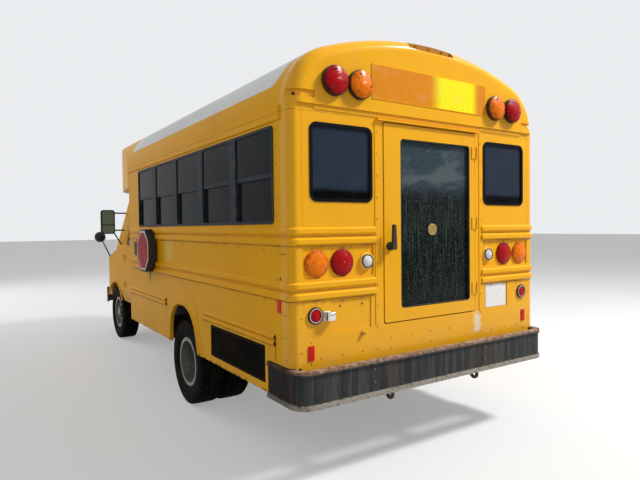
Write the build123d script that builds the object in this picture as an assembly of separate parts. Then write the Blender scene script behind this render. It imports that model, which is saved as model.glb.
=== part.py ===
from build123d import *
import math
import os

# A short school bus: a steel bus body on a cutaway van chassis with twin rear wheels.
# Millimetres. The nose points along -Y, the bus's left is +X, and the ground is z = 0.

# Overall sizes
BODY_WIDTH = 2390
CAB_HALF = 1005  # half the cab's width at its waist
BODY_LENGTH = 3840  # full-width body, back from its front post
AXLE_AHEAD = 1675  # front axle ahead of that post
REAR_OVERHANG = 2010  # rear axle to the outside of the rear wall
FRONT_OVERHANG = 850  # front axle to the front bumper's face
BUMPER_REACH = 105  # rear bumper's face behind the rear wall
HALF = BODY_WIDTH / 2
WHEELBASE = BODY_LENGTH - REAR_OVERHANG + AXLE_AHEAD

# Heights above the ground
SKIRT_Z = 540
FLOOR_Z = 930
GUTTER_Z = 2390
RAIL_TOP_Z = 800
WALL_FOOT_Z = 757  # rear wall and rear corners, just above the bumper
BUMPER_ARM_Z = (600, 720)  # the frame's tails, which carry the rear bumper

# Panel thicknesses
WALL = 45
SKIRT = 20
CAB_PANEL = 30
FLOOR = 40
GLASS = 6
HINGE_R = 9
SEAT_GAP = 0.3  # between a hinge barrel and the panel it turns on
SEAM_GAP = 6  # round doors and the hood

# Roof section: a corner arc each side and one crown arc between them
ROOF_CORNER_R = 410
ROOF_CORNER_TURN = 70

# Running gear
TYRE_R = 388
TYRE_WIDTH = 235
RIM_R = 203
RIM_LIP_R = 224
RIM_WIDTH = 190
RIM_LIP = 8
RIM_SEAT = RIM_WIDTH / 2 - RIM_LIP  # half the width between the lips, at the bead
RIM_FLARE = 6  # the lips lean outwards by this from the bead to their edge
RIM_DISC = 14  # thickness of the wheel's disc
HUB_CAP = 8
BEAD_GAP = 0.5
TYRE_BULGE_R = 315
TYRE_SHOULDER = 34
TWIN_SPACING = 262
FRONT_TYRE_X = CAB_HALF - 137  # tyre centre
REAR_OUTER_X = HALF - 148
KINGPIN_X = FRONT_TYRE_X - 68
SPINDLE_R = 30
BEARING_GAP = 0.05
FRAME_X = (395, 460)  # inner and outer face of each frame rail
FRAME_DEPTH = 180

# Side windows, the same bays on both sides
BAY_COUNT = 5
BAY_PITCH = 653
BAY_START = 170  # first bay's rear edge, ahead of the rear wall
BAY_PILLAR = 80
WINDOW_Z = (1655, 2272)
FRAME_FLANGE = 6  # the black strip beyond the first and last light
FRAME_PROUD = 6
FRAME_LINER = 14
RAIL_HALF = 16  # half the height of a side window's middle rail

# Rear face
REAR_DOOR_HALF = 457
REAR_DOOR_Z = (966, 2330)
REAR_HINGE_X = 472  # hinge axis, on the right of the door
REAR_GLASS_X = (-399, 308)
REAR_GLASS_Z = (1053, 2235)
REAR_WINDOW_X = (568, 1044)
REAR_WINDOW_Z = (1797, 2273)
REAR_RUBBER = 11  # the rubber laps this far over the wall and over the glass
REAR_GLASS_SET = 12  # the panes' inner face behind the wall's face
CORNER_R = 53
CORNER_SEAM_X = 1110  # where the corner panels meet the rear panel
CAP_SEAM = 118
CAP_PROUD = 15
CAP_EDGE_R = 85
TOP_RECESS_HALF = 219
TOP_RECESS_Z = 2872
TOP_RECESS_DEPTH = 30  # its wall stands this far ahead of the rear wall's face
TOP_HOLE_PITCH = 130
TOP_HOLE_Z = 2902
TOP_HOLE_R = 15
MARKER_Z = (2428, 2472)
MARKER_REACH = 92  # of the 45 degree seat, from the cap's corner
MARKER_X = 1018
MARKER_RECESS = 12
HEADER_STRIP_Z = (2362, 2389)
DRIP_RAIL_X = (-490, 522)
DRIP_RAIL_Z = (2340, 2353)
DRIP_RAIL_PROUD = 22
JAMB_X = (507, 536)
SEAM_CUT = 1.5  # half the width of a panel seam, and its depth
WARNING_LAMP_R = 89
WARNING_LAMP_Z = 2548
REAR_WARNING_X = (("red", 874), ("amber", 673))
LAMP_PANEL_X = (552, 1108)
LAMP_PANEL_Z = (1302, 1503)
LAMP_PANEL_RECESS = 8
PANEL_LAMPS = (("amber", 1009, 1397, 88), ("red", 811, 1397, 88), ("clear", 610, 1398, 57))
STOP_LAMP = (1025, 1073, 54)  # x, z and radius
LAMP_PROUD = 30

# Licence plate recess, left of the rear door
PLATE_X = (574, 902)
PLATE_Z = (952, 1160)
PLATE_RECESS = 6
SIGN_X = (-852, -576)  # recess of the small blank sign, right of the door
SIGN_Z = (968, 1166)
PLATE_HOLE_PITCH = 178
PLATE_HOLE_R = 3.5
PLATE_HOLE_Z = 1118

# Tow eyes under both bumpers
TOW_EYE_R = 18
TOW_EYE_PLATE = 16
TOW_EYE_X = 428
TOW_EYE_HALF = 38  # half the plate's width

# Rub rails: lower and upper edge, how far proud
RUB_RAILS = ((1512, 1626), (1170, 1286))
RIDGE = 48  # height of each of a rail's two ridges
SKIRT_RAIL = (866, 940)
SKIRT_RIDGE = 33
RAIL_PROUD = 14
RAIL_BEVEL = 11
RAIL_END_X = 537  # the rear rails stop beside the door
EAVE_Z = 2300
EAVE_PROUD = 10

# Stop arm, folded flat against the left wall
STOP_ACROSS_FLATS = 444
STOP_Z = 1400
STOP_PIN_R = 12
STOP_FACE_RECESS = 3

# Derived stations along the bus
LENGTH = FRONT_OVERHANG + WHEELBASE + REAR_OVERHANG + BUMPER_REACH
FRONT_Y = -LENGTH / 2
REAR_Y = LENGTH / 2 - BUMPER_REACH
REAR_AXLE_Y = REAR_Y - REAR_OVERHANG
FRONT_AXLE_Y = REAR_AXLE_Y - WHEELBASE
BODY_FRONT_Y = REAR_Y - BODY_LENGTH

STOP_CENTRE_Y = BODY_FRONT_Y + 915
STOP_HINGE_Y = STOP_CENTRE_Y - STOP_ACROSS_FLATS / 2 - 30
STOP_X = (HALF + 22, HALF + 98)  # inner and outer face of the octagonal drum
STOP_PIN_X = HALF + 48
LOUVRE_Y = (REAR_Y - 1300, REAR_Y - 350)
LOUVRE_Z = (595, 846)

# Cab and nose
CAB_TOP_Z = 2120
CAB_REACH = CAB_HALF + 95  # past everything on the cab's side, for cuts
COWL_Y = FRONT_AXLE_Y + 115
HEADER_Y = COWL_Y + 600  # top of the windshield
CAP_FRONT_Y = HEADER_Y - 150
NOSE_Y = FRONT_Y + 95
ENTRANCE_Y = (BODY_FRONT_Y - 880, BODY_FRONT_Y - 80)
RIGHT_FRONT_Y = ENTRANCE_Y[0] - 180  # the right wall runs on past the entrance door
ENTRANCE_Z = (430, 2070)
LEAF = 40
LEAF_GAP = 12
LEAF_HINGE_OUT = 3  # hinge axis outside the doorway's edge
CAB_FLOOR_Z = 835
DRIVER_DOOR_Y = (COWL_Y + 470, BODY_FRONT_Y - 50)
DRIVER_DOOR_Z = (650, 2060)
DRIVER_SEAT_Y = BODY_FRONT_Y - 180  # front face of the driver's seat back
DOOR_DEPTH = 50
HOOD_HALF = 700
HOOD_CREASE_X = 390
FIREWALL_Y = COWL_Y + 60


def block(x, y, z):
    """A box between a low and a high value on each axis."""
    size = (x[1] - x[0], y[1] - y[0], z[1] - z[0])
    return Pos((x[0] + x[1]) / 2, (y[0] + y[1]) / 2, (z[0] + z[1]) / 2) * Box(*size)


def outline(points, radii=0):
    """A closed face through corner points, each corner rounded by its radius."""
    return make_face(FilletPolyline(*points, radius=radii, close=True))


def window(u, v, radius):
    """A rounded rectangle between two pairs of values."""
    centre = Pos((u[0] + u[1]) / 2, (v[0] + v[1]) / 2)
    return centre * RectangleRounded(u[1] - u[0], v[1] - v[0], radius)


def across(face, x):
    """Extrude an outline drawn in (y, z) from x[0] to x[1]."""
    plane = Plane(origin=(x[0], 0, 0), x_dir=(0, 1, 0), z_dir=(1, 0, 0))
    return extrude(plane * face, amount=x[1] - x[0])


def along(face, y):
    """Extrude an outline drawn in (x, z) from y[0] to y[1]."""
    plane = Plane(origin=(0, y[1], 0), x_dir=(1, 0, 0), z_dir=(0, -1, 0))
    return extrude(plane * face, amount=y[1] - y[0])


def upright(face, z):
    """Extrude an outline drawn in (x, y) from z[0] to z[1]."""
    return extrude(Pos(0, 0, z[0]) * face, amount=z[1] - z[0])


def bar_x(radius, x, y, z):
    """A round bar along X."""
    return Pos((x[0] + x[1]) / 2, y, z) * Rot(0, 90, 0) * Cylinder(radius, x[1] - x[0])


def bar_y(radius, x, y, z):
    """A round bar along Y."""
    return Pos(x, (y[0] + y[1]) / 2, z) * Rot(90, 0, 0) * Cylinder(radius, y[1] - y[0])


def bar_z(radius, x, y, z):
    """A round bar along Z."""
    return Pos(x, y, (z[0] + z[1]) / 2) * Cylinder(radius, z[1] - z[0])


def both_sides(part):
    return part + mirror(part, about=Plane.YZ)


def solids_of(*parts):
    """Keep separate solids side by side in one node."""
    return Compound([solid for part in parts for solid in part.solids()])


# Bus body


def roof_section(inset, foot_z):
    """The body's outline across the bus, moved inwards by inset, closed at foot_z."""
    turn = ROOF_CORNER_TURN
    corner_x = HALF - ROOF_CORNER_R
    crown_drop = corner_x / math.cos(math.radians(turn))
    crown_z = GUTTER_Z - crown_drop * math.sin(math.radians(turn))
    side = HALF - inset
    edges = [
        Line((-side, foot_z), (side, foot_z)),
        CenterArc((corner_x, GUTTER_Z), ROOF_CORNER_R - inset, 0, turn),
        CenterArc((0, crown_z), ROOF_CORNER_R + crown_drop - inset, turn, 180 - 2 * turn),
        CenterArc((-corner_x, GUTTER_Z), ROOF_CORNER_R - inset, 180 - turn, turn),
    ]
    if foot_z < GUTTER_Z:
        edges.append(Line((side, foot_z), (side, GUTTER_Z)))
        edges.append(Line((-side, GUTTER_Z), (-side, foot_z)))
    return make_face(edges)


def make_roof():
    ring = roof_section(0, GUTTER_Z) - roof_section(WALL, GUTTER_Z)
    return along(ring, (BODY_FRONT_Y, REAR_Y - CAP_SEAM))


def make_rear_cap():
    """The moulded rear cap, with the lamp recess at its top and a marker seat in each corner."""
    back = REAR_Y + CAP_PROUD
    outer = along(roof_section(0, GUTTER_Z), (REAR_Y - CAP_SEAM, back))
    rim = [e for e in outer.edges() if e.center().Y > back - 1 and e.center().Z > GUTTER_Z + 1]
    outer = fillet(rim, CAP_EDGE_R)
    inner = along(roof_section(WALL, GUTTER_Z), (REAR_Y - CAP_SEAM, REAR_Y - WALL))
    cap = outer - inner
    step_y = REAR_Y - TOP_RECESS_DEPTH
    cap -= block((-TOP_RECESS_HALF, TOP_RECESS_HALF), (step_y, back + 1), (TOP_RECESS_Z, TOP_RECESS_Z + 200))
    for x in (-TOP_HOLE_PITCH, 0, TOP_HOLE_PITCH):
        cap -= bar_y(TOP_HOLE_R, x, (step_y - WALL / 4, REAR_Y), TOP_HOLE_Z)
    height = MARKER_Z[1] - MARKER_Z[0]
    for side in (1, -1):
        corner = Pos(side * HALF, back, sum(MARKER_Z) / 2) * Rot(0, 0, 45)
        cap -= corner * Box(MARKER_REACH * math.sqrt(2), MARKER_REACH * math.sqrt(2), height)
        x = sorted((side * MARKER_X, side * (HALF + 1)))
        cap -= block(x, (back - MARKER_RECESS, back + 1), MARKER_Z)
    return cap


def bay_span(index):
    """Rear and front edge of one window opening, low value first."""
    rear = REAR_Y - BAY_START - index * BAY_PITCH - BAY_PILLAR / 2
    return (rear - BAY_PITCH + BAY_PILLAR, rear)


def ridges(low, high, ridge):
    """The heights of a rail's two ridges."""
    return ((low, low + ridge), (high - ridge, high))


def side_rail(y, z):
    """One pressed ridge along the left wall, with sloped edges."""
    ridge = block((HALF - 1, HALF + RAIL_PROUD), y, z)
    return chamfer(ridge.faces().sort_by(Axis.X)[-1].edges().filter_by(Axis.Y), RAIL_BEVEL)


ARCH_FOOT_Z = SKIRT_Z - 140
ARCH_TOP_Z = 927
ARCH_FRONT_Y = REAR_AXLE_Y - 306
ARCH_BACK_Y = REAR_AXLE_Y + 480  # at the arch's foot
ARCH_LEAN = 180  # the arch's rear edge leans forward by this to its top
PRESSING_TOP_Z = 1042
PRESSING_PROUD = 5
ARCH_LIP = 16


def arch_face(grow):
    """The wheel opening in the skirt, upright in front and raked behind, moved outwards by grow."""
    points = [
        (ARCH_FRONT_Y, ARCH_FOOT_Z),
        (ARCH_FRONT_Y, ARCH_TOP_Z),
        (ARCH_BACK_Y - ARCH_LEAN, ARCH_TOP_Z),
        (ARCH_BACK_Y, ARCH_FOOT_Z),
    ]
    face = outline(points, [0, 280, 330, 0])
    return offset(face, amount=grow) if grow else face


def arch_pressing():
    """The raised panel round the wheel opening, with a rolled lip at its edge."""
    points = [
        (ARCH_FRONT_Y - 45, SKIRT_Z),
        (ARCH_FRONT_Y - 30, PRESSING_TOP_Z),
        (ARCH_BACK_Y - 140, PRESSING_TOP_Z),
        (ARCH_BACK_Y + 40, SKIRT_Z),
    ]
    plate = across(outline(points, [0, 90, 230, 0]), (HALF - 1, HALF + PRESSING_PROUD))
    rim = [e for e in plate.edges() if e.center().X > HALF + 1 and e.center().Z > SKIRT_Z + 1]
    plate = chamfer(rim, PRESSING_PROUD - 1)
    lip = across(arch_face(ARCH_LIP), (HALF - 1, HALF + PRESSING_PROUD + 9))
    rim = [e for e in lip.edges() if e.center().X > HALF + PRESSING_PROUD + 1 and e.center().Z > SKIRT_Z]
    lip = chamfer(rim, 5)
    return plate + (lip & block((0, HALF + 100), (ARCH_FRONT_Y - 100, ARCH_BACK_Y + 100), (SKIRT_Z, 1200)))


def side_wall():
    """The left wall: upper wall, thin skirt, rub rails and eave, with its openings cut."""
    rear = REAR_Y - CAP_SEAM
    bumper_end = REAR_Y - 310
    wall = block((HALF - WALL, HALF), (BODY_FRONT_Y, rear), (FLOOR_Z - FLOOR, GUTTER_Z))
    wall += block((HALF - SKIRT, HALF), (BODY_FRONT_Y, bumper_end), (SKIRT_Z, FLOOR_Z))
    wall += block((HALF - SKIRT, HALF), (bumper_end, rear), (WALL_FOOT_Z, FLOOR_Z))
    wall += block((HALF, HALF + EAVE_PROUD), (BODY_FRONT_Y, rear), (EAVE_Z, GUTTER_Z))
    rails = [(low, high, RIDGE, (BODY_FRONT_Y + 40, rear)) for low, high in RUB_RAILS]
    rails.append((*SKIRT_RAIL, SKIRT_RIDGE, (BODY_FRONT_Y + 27, ARCH_FRONT_Y - 135)))
    rails.append((*SKIRT_RAIL, SKIRT_RIDGE, (ARCH_BACK_Y + 70, REAR_Y - 207)))
    for low, high, ridge, y in rails:
        for z in ridges(low, high, ridge):
            wall += side_rail(y, z)
    wall += arch_pressing()
    for index in range(BAY_COUNT):
        opening = window(bay_span(index), WINDOW_Z, 30)
        wall -= across(opening, (HALF - WALL - 1, HALF + 1))
    return wall - across(arch_face(0), (HALF - 100, HALF + 40))


def make_left_wall():
    wall = side_wall()
    wall += block((CAB_HALF, HALF - 30), (BODY_FRONT_Y, BODY_FRONT_Y + WALL), (SKIRT_Z, CAB_TOP_Z))
    wall -= across(window(LOUVRE_Y, LOUVRE_Z, 12), (HALF - 100, HALF + 20))
    bracket_x = (HALF - 1, STOP_PIN_X - STOP_PIN_R - SEAT_GAP)
    return wall + block(bracket_x, (STOP_HINGE_Y - 45, STOP_HINGE_Y + 18), (STOP_Z - 70, STOP_Z + 70))


def make_right_wall():
    wall = mirror(side_wall(), about=Plane.YZ)
    ahead = (RIGHT_FRONT_Y, BODY_FRONT_Y)
    wall += block((-HALF, WALL - HALF), ahead, (FLOOR_Z - FLOOR, CAB_TOP_Z))
    wall += block((-HALF, SKIRT - HALF), ahead, (SKIRT_Z, FLOOR_Z))
    wall += block((30 - HALF, -CAB_HALF), (RIGHT_FRONT_Y, RIGHT_FRONT_Y + WALL), (SKIRT_Z, CAB_TOP_Z))
    door = window(ENTRANCE_Y, (ENTRANCE_Z[0] - 200, ENTRANCE_Z[1]), 20)
    return wall - across(door, (-HALF - 20, 200 - HALF))


def rear_plan(grow):
    """The rear wall's U in plan, moved outwards by grow."""
    side = HALF + grow
    back = REAR_Y + grow
    points = [(side, REAR_Y - CAP_SEAM), (side, back), (-side, back), (-side, REAR_Y - CAP_SEAM)]
    return outline(points, [0, CORNER_R + grow, CORNER_R + grow, 0])


def rear_ridge(z):
    """One pressed ridge round the rear wall's U, with sloped edges."""
    ridge = upright(rear_plan(RAIL_PROUD) - rear_plan(-1), z)
    rim = []
    for edge in ridge.edges().filter_by(Axis.Z, reverse=True):
        x, y = abs(edge.center().X), edge.center().Y
        flat = x > HALF + RAIL_PROUD - 1 or y > REAR_Y + RAIL_PROUD - 1
        if flat or (x > HALF - RAIL_PROUD and y > REAR_Y - RAIL_PROUD):
            rim.append(edge)
    return chamfer(rim, RAIL_BEVEL)


def make_rear_wall():
    """The rear wall and its corners, with rub rails, recesses, the door opening and its trim."""
    wall = upright(rear_plan(0) - rear_plan(-WALL), (WALL_FOOT_Z, GUTTER_Z))
    apron = (WALL + 25 - HALF, HALF - WALL - 25)
    wall += block(apron, (REAR_Y - WALL, REAR_Y), (BUMPER_ARM_Z[1] + SEAT_GAP, WALL_FOOT_Z + 1))
    for low, high in RUB_RAILS:
        for z in ridges(low, high, RIDGE):
            wall += rear_ridge(z)
    beside = window((-RAIL_END_X, RAIL_END_X), (REAR_DOOR_Z[0] - 40, REAR_DOOR_Z[1] + 40), 30)
    wall -= along(beside, (REAR_Y, REAR_Y + 60))
    wall += block((-MARKER_X, MARKER_X), (REAR_Y - 1, REAR_Y + 5), HEADER_STRIP_Z)
    wall += block(DRIP_RAIL_X, (REAR_Y - 1, REAR_Y + DRIP_RAIL_PROUD), DRIP_RAIL_Z)
    wall += both_sides(block(JAMB_X, (REAR_Y - 1, REAR_Y + 4), (REAR_DOOR_Z[0], DRIP_RAIL_Z[0])))
    gap = SEAM_GAP + 2
    door_x = (-REAR_DOOR_HALF - gap, REAR_DOOR_HALF + gap)
    door = window(door_x, (REAR_DOOR_Z[0] - gap, REAR_DOOR_Z[1] + gap), 20)
    wall -= along(door, (REAR_Y - 100, REAR_Y + 60))
    for side in (1, -1):
        x = sorted((side * REAR_WINDOW_X[0], side * REAR_WINDOW_X[1]))
        wall -= along(window(x, REAR_WINDOW_Z, 42), (REAR_Y - 100, REAR_Y + 60))
        x = sorted((side * LAMP_PANEL_X[0], side * LAMP_PANEL_X[1]))
        wall -= along(window(x, LAMP_PANEL_Z, 12), (REAR_Y - LAMP_PANEL_RECESS, REAR_Y + 1))
        seam = (side * CORNER_SEAM_X - SEAM_CUT, side * CORNER_SEAM_X + SEAM_CUT)
        wall -= block(seam, (REAR_Y - SEAM_CUT, REAR_Y + 1), (RUB_RAILS[0][1] + 6, HEADER_STRIP_Z[0]))
    for x, z in ((PLATE_X, PLATE_Z), (SIGN_X, SIGN_Z)):
        wall -= along(window(x, z, 10), (REAR_Y - PLATE_RECESS, REAR_Y + 1))
    for side in (1, -1):
        x = sum(PLATE_X) / 2 + side * PLATE_HOLE_PITCH / 2
        wall -= bar_y(PLATE_HOLE_R, x, (REAR_Y - WALL - 1, REAR_Y + 1), PLATE_HOLE_Z)
    return wall


def make_rear_door():
    slab = window((-REAR_DOOR_HALF, REAR_DOOR_HALF), REAR_DOOR_Z, 14)
    door = along(slab, (REAR_Y - WALL, REAR_Y + 4))
    door -= along(window(REAR_GLASS_X, REAR_GLASS_Z, 30), (REAR_Y - 100, REAR_Y + 60))
    for z in ((1100, 1190), (1600, 1690), (2140, 2230)):
        door += bar_z(HINGE_R, -REAR_HINGE_X, REAR_Y + HINGE_R + SEAT_GAP, z)
        door += block((-REAR_HINGE_X, 50 - REAR_HINGE_X), (REAR_Y + 4, REAR_Y + 10), z)
    return door


HANDLE_X = 411
HANDLE_Z = (1492, 1640)  # pivot and tip


def make_rear_handle():
    """The black lever on the rear door: a round boss, a neck and a tapered grip."""
    low, high = HANDLE_Z
    boss = bar_y(30, HANDLE_X, (REAR_Y + 4, REAR_Y + 18), low)
    neck = bar_y(15, HANDLE_X, (REAR_Y + 10, REAR_Y + 58), low)
    points = [(-21, low - 24), (21, low - 24), (13, high), (-13, high)]
    lever = Pos(HANDLE_X, 0, 0) * along(outline(points, 11), (REAR_Y + 44, REAR_Y + 62))
    return boss + neck + fillet(lever.faces().sort_by(Axis.Y)[-1].edges(), 5)


def make_rear_door_glass():
    return along(window(REAR_GLASS_X, REAR_GLASS_Z, 30), (REAR_Y - 24, REAR_Y - 24 + GLASS))


def frame_light(y, z):
    """The clear opening inside a window frame's liner."""
    return window((y[0] + FRAME_LINER, y[1] - FRAME_LINER), (z[0] + FRAME_LINER, z[1] - FRAME_LINER), 20)


def side_frame():
    """The black strip of the left side's windows: one flange, a liner in each opening, middle rails."""
    z = WINDOW_Z
    strip_y = (bay_span(BAY_COUNT - 1)[0] - FRAME_FLANGE, bay_span(0)[1] + FRAME_FLANGE)
    strip = window(strip_y, (z[0] - FRAME_FLANGE, z[1] + FRAME_FLANGE), 34)
    for index in range(BAY_COUNT):
        strip -= frame_light(bay_span(index), z)
    frame = across(strip, (HALF, HALF + FRAME_PROUD))
    middle = (z[0] + z[1]) / 2
    rail_z = (middle - RAIL_HALF, middle + RAIL_HALF)
    for index in range(BAY_COUNT):
        y = bay_span(index)
        frame += across(window(y, z, 30) - frame_light(y, z), (HALF - WALL, HALF))
        frame += block((HALF - 30, HALF - 2), (y[0] + 10, y[1] - 10), rail_z)
    return frame


def make_window_frames():
    frames = [side_frame()]
    frames.append(mirror(frames[0], about=Plane.YZ))
    for side in (1, -1):
        x = sorted((side * REAR_WINDOW_X[0], side * REAR_WINDOW_X[1]))
        lap = REAR_RUBBER
        outer = window((x[0] - lap, x[1] + lap), (REAR_WINDOW_Z[0] - lap, REAR_WINDOW_Z[1] + lap), 53)
        inner = window((x[0] + lap, x[1] - lap), (REAR_WINDOW_Z[0] + lap, REAR_WINDOW_Z[1] - lap), 31)
        gasket = along(outer - inner, (REAR_Y, REAR_Y + 5))
        gasket += along(window(x, REAR_WINDOW_Z, 42) - inner, (REAR_Y - WALL, REAR_Y))
        frames.append(gasket)
    return solids_of(*frames)


def make_window_glass():
    panes = []
    middle = sum(WINDOW_Z) / 2
    for index in range(BAY_COUNT):
        light = across(frame_light(bay_span(index), WINDOW_Z), (HALF - WALL, HALF))
        upper = block((HALF - 8, HALF - 8 + GLASS), bay_span(index), (middle + RAIL_HALF, WINDOW_Z[1]))
        lower = block((HALF - 26, HALF - 26 + GLASS), bay_span(index), (WINDOW_Z[0], middle - RAIL_HALF))
        panes += [upper & light, lower & light]
    panes += [mirror(pane, about=Plane.YZ) for pane in panes]
    for side in (1, -1):
        x = sorted((side * (REAR_WINDOW_X[0] + REAR_RUBBER), side * (REAR_WINDOW_X[1] - REAR_RUBBER)))
        z = (REAR_WINDOW_Z[0] + REAR_RUBBER, REAR_WINDOW_Z[1] - REAR_RUBBER)
        panes.append(along(window(x, z, 31), (REAR_Y - REAR_GLASS_SET, REAR_Y - REAR_GLASS_SET + GLASS)))
    return solids_of(*panes)


def make_front_cap():
    """The moulded cap over the cab, from the roof section down to the windshield header."""

    def cap(inset):
        side = outline(
            [
                (BODY_FRONT_Y, CAB_TOP_Z),
                (BODY_FRONT_Y, 3200),
                (BODY_FRONT_Y - 500, 3200),
                (CAP_FRONT_Y + 330 + inset, 2880 - inset),
                (CAP_FRONT_Y + inset, 2640 - inset),
                (CAP_FRONT_Y + inset, CAB_TOP_Z),
            ],
            [0, 0, 0, 200, 160, 0],
        )
        plan = outline(
            [
                (HALF - inset, BODY_FRONT_Y),
                (HALF - inset, BODY_FRONT_Y - 60),
                (HALF - 110 - inset, CAP_FRONT_Y + 330),
                (CAB_HALF - 65 - inset, CAP_FRONT_Y + inset),
                (inset + 195 - HALF, CAP_FRONT_Y + inset),
                (inset - HALF, RIGHT_FRONT_Y + 100),
                (inset - HALF, BODY_FRONT_Y),
            ],
            [0, 200, 300, 200, 160, 120, 0],
        )
        body = along(roof_section(inset, CAB_TOP_Z), (CAP_FRONT_Y - 10, BODY_FRONT_Y))
        return body & across(side, (-HALF - 10, HALF + 10)) & upright(plan, (CAB_TOP_Z - 10, 3200))

    soffit_z = CAB_TOP_Z + 35
    core = cap(WALL) - block((-HALF, HALF), (CAP_FRONT_Y, BODY_FRONT_Y), (CAB_TOP_Z - 10, soffit_z))
    room = block((60 + WALL - HALF, CAB_HALF - 125), (HEADER_Y + 60, BODY_FRONT_Y), (CAB_TOP_Z, soffit_z))
    return cap(0) - core - room


# Cab

HEAD_ROOM = CAB_HALF - 145  # half width of the openings above and behind the front seats


def cab_block(inset):
    """The cab and nose as one closed form, moved inwards by inset on every side."""
    side = outline(
        [
            (NOSE_Y + 25, 560),
            (NOSE_Y, 860),
            (NOSE_Y + 60, 1115),
            (COWL_Y, 1330),
            (HEADER_Y, CAB_TOP_Z),
            (BODY_FRONT_Y + 40, CAB_TOP_Z),
            (BODY_FRONT_Y + 40, 560),
        ],
        [0, 120, 90, 60, 0, 0, 0],
    )
    front = outline(
        [
            (45 - CAB_HALF, 560),
            (-CAB_HALF, 760),
            (-CAB_HALF, 1360),
            (75 - CAB_HALF, CAB_TOP_Z),
            (CAB_HALF - 75, CAB_TOP_Z),
            (CAB_HALF, 1360),
            (CAB_HALF, 760),
            (CAB_HALF - 45, 560),
        ],
        [0, 80, 200, 0, 0, 200, 80, 0],
    )
    plan = outline(
        [
            (CAB_HALF, BODY_FRONT_Y + 40),
            (CAB_HALF, NOSE_Y + 330),
            (CAB_HALF - 105, NOSE_Y + 40),
            (CAB_HALF - 365, NOSE_Y),
            (365 - CAB_HALF, NOSE_Y),
            (105 - CAB_HALF, NOSE_Y + 40),
            (-CAB_HALF, NOSE_Y + 330),
            (-CAB_HALF, BODY_FRONT_Y + 40),
        ],
        [0, 260, 140, 300, 300, 140, 260, 0],
    )
    if inset:
        side = offset(side, amount=-inset, kind=Kind.INTERSECTION)
        front = offset(front, amount=-inset, kind=Kind.INTERSECTION)
        plan = offset(plan, amount=-inset, kind=Kind.INTERSECTION)
    form = across(side, (-CAB_REACH, CAB_REACH)) & along(front, (NOSE_Y - 10, BODY_FRONT_Y + 50))
    return form & upright(plan, (500, 2200))


def cab_skin(outer, inner):
    """A layer of the cab's form between two depths, open below and behind."""
    core = cab_block(inner)
    core = core + Pos(0, 0, -80) * core + Pos(0, 120, 0) * core
    return cab_block(outer) - core


def windshield_face(gap):
    low, high = 1375 + gap, 2065 - gap
    foot, head = CAB_HALF - 185 - gap, CAB_HALF - 235 - gap
    return outline([(-foot, low), (foot, low), (head, high), (-head, high)], 70)


def driver_door_face(gap):
    low, high = DRIVER_DOOR_Z
    front, rear = DRIVER_DOOR_Y
    return outline(
        [
            (front + gap, low + gap),
            (rear - gap, low + gap),
            (rear - gap, high - gap),
            (front + 330 + gap, high - gap),
            (front + gap, 1430 - gap / 2),
        ],
        [60, 60, 40, 60, 60],
    )


def driver_glass_face():
    low, high = 1400, DRIVER_DOOR_Z[1] - 70
    front, rear = DRIVER_DOOR_Y
    return outline(
        [(front + 110, low), (rear - 90, low), (rear - 90, high), (front + 365, high), (front + 110, 1450)],
        [30, 40, 40, 50, 20],
    )


def hood_room(gap):
    y = (NOSE_Y + 14 + gap, COWL_Y - 10 - gap)
    return block((gap - HOOD_HALF, HOOD_HALF - gap), y, (1080 + gap, 1500))


HOOD_HINGE_R = 6
HOOD_HINGE_Y = COWL_Y - 10 - HOOD_HINGE_R - SEAT_GAP
HOOD_HINGE_Z = 1327
HEADLAMP_X = (610, 880)
TURN_LAMP_X = 806  # the amber end of each headlamp opening starts here
HEADLAMP_Z = (800, 1030)
GRILLE_HALF = 560
SLAT_COUNT = 11  # in the skirt's louvred panel
GRILLE_Z = (770, 1045)
FRONT_ARCH_R = 455
FRONT_ARCH_X = 560  # the arch cuts the nose outside this


def make_cab_shell():
    shell = cab_skin(0, CAB_PANEL)
    across_cab = (-CAB_REACH, CAB_REACH)
    shell -= block(across_cab, (NOSE_Y - 10, BODY_FRONT_Y + 60), (500, 605))
    shell -= block((-480, 480), (NOSE_Y - 10, NOSE_Y + 90), (500, 715))
    shell -= block(across_cab, (BODY_FRONT_Y, BODY_FRONT_Y + 60), (500, 2200))
    shell -= block((-HEAD_ROOM, HEAD_ROOM), (HEADER_Y + 60, BODY_FRONT_Y + 10), (CAB_TOP_Z - 60, 2200))
    shell -= block((-CAB_REACH, -HEAD_ROOM), (RIGHT_FRONT_Y, BODY_FRONT_Y + 10), (500, 2200))
    shell -= along(windshield_face(0), (COWL_Y - 100, HEADER_Y + 40))
    shell -= across(driver_door_face(0), (CAB_HALF - 205, CAB_REACH))
    shell -= hood_room(0)
    for side in (1, -1):
        x = sorted((side * FRONT_ARCH_X, side * CAB_REACH))
        lip_x = sorted((side * (CAB_HALF - 2), side * (CAB_HALF + 10)))
        lip = bar_x(FRONT_ARCH_R + 26, lip_x, FRONT_AXLE_Y, TYRE_R)
        shell += lip & block(across_cab, (NOSE_Y + 100, FRONT_AXLE_Y + 600), (610, 1200))
        shell -= bar_x(FRONT_ARCH_R, x, FRONT_AXLE_Y, TYRE_R)
        lamp = window(sorted((side * HEADLAMP_X[0], side * HEADLAMP_X[1])), HEADLAMP_Z, 30)
        shell -= along(lamp, (NOSE_Y - 10, NOSE_Y + 200))
    shell -= along(window((-GRILLE_HALF, GRILLE_HALF), GRILLE_Z, 40), (NOSE_Y - 10, NOSE_Y + 60))
    return shell


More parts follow.
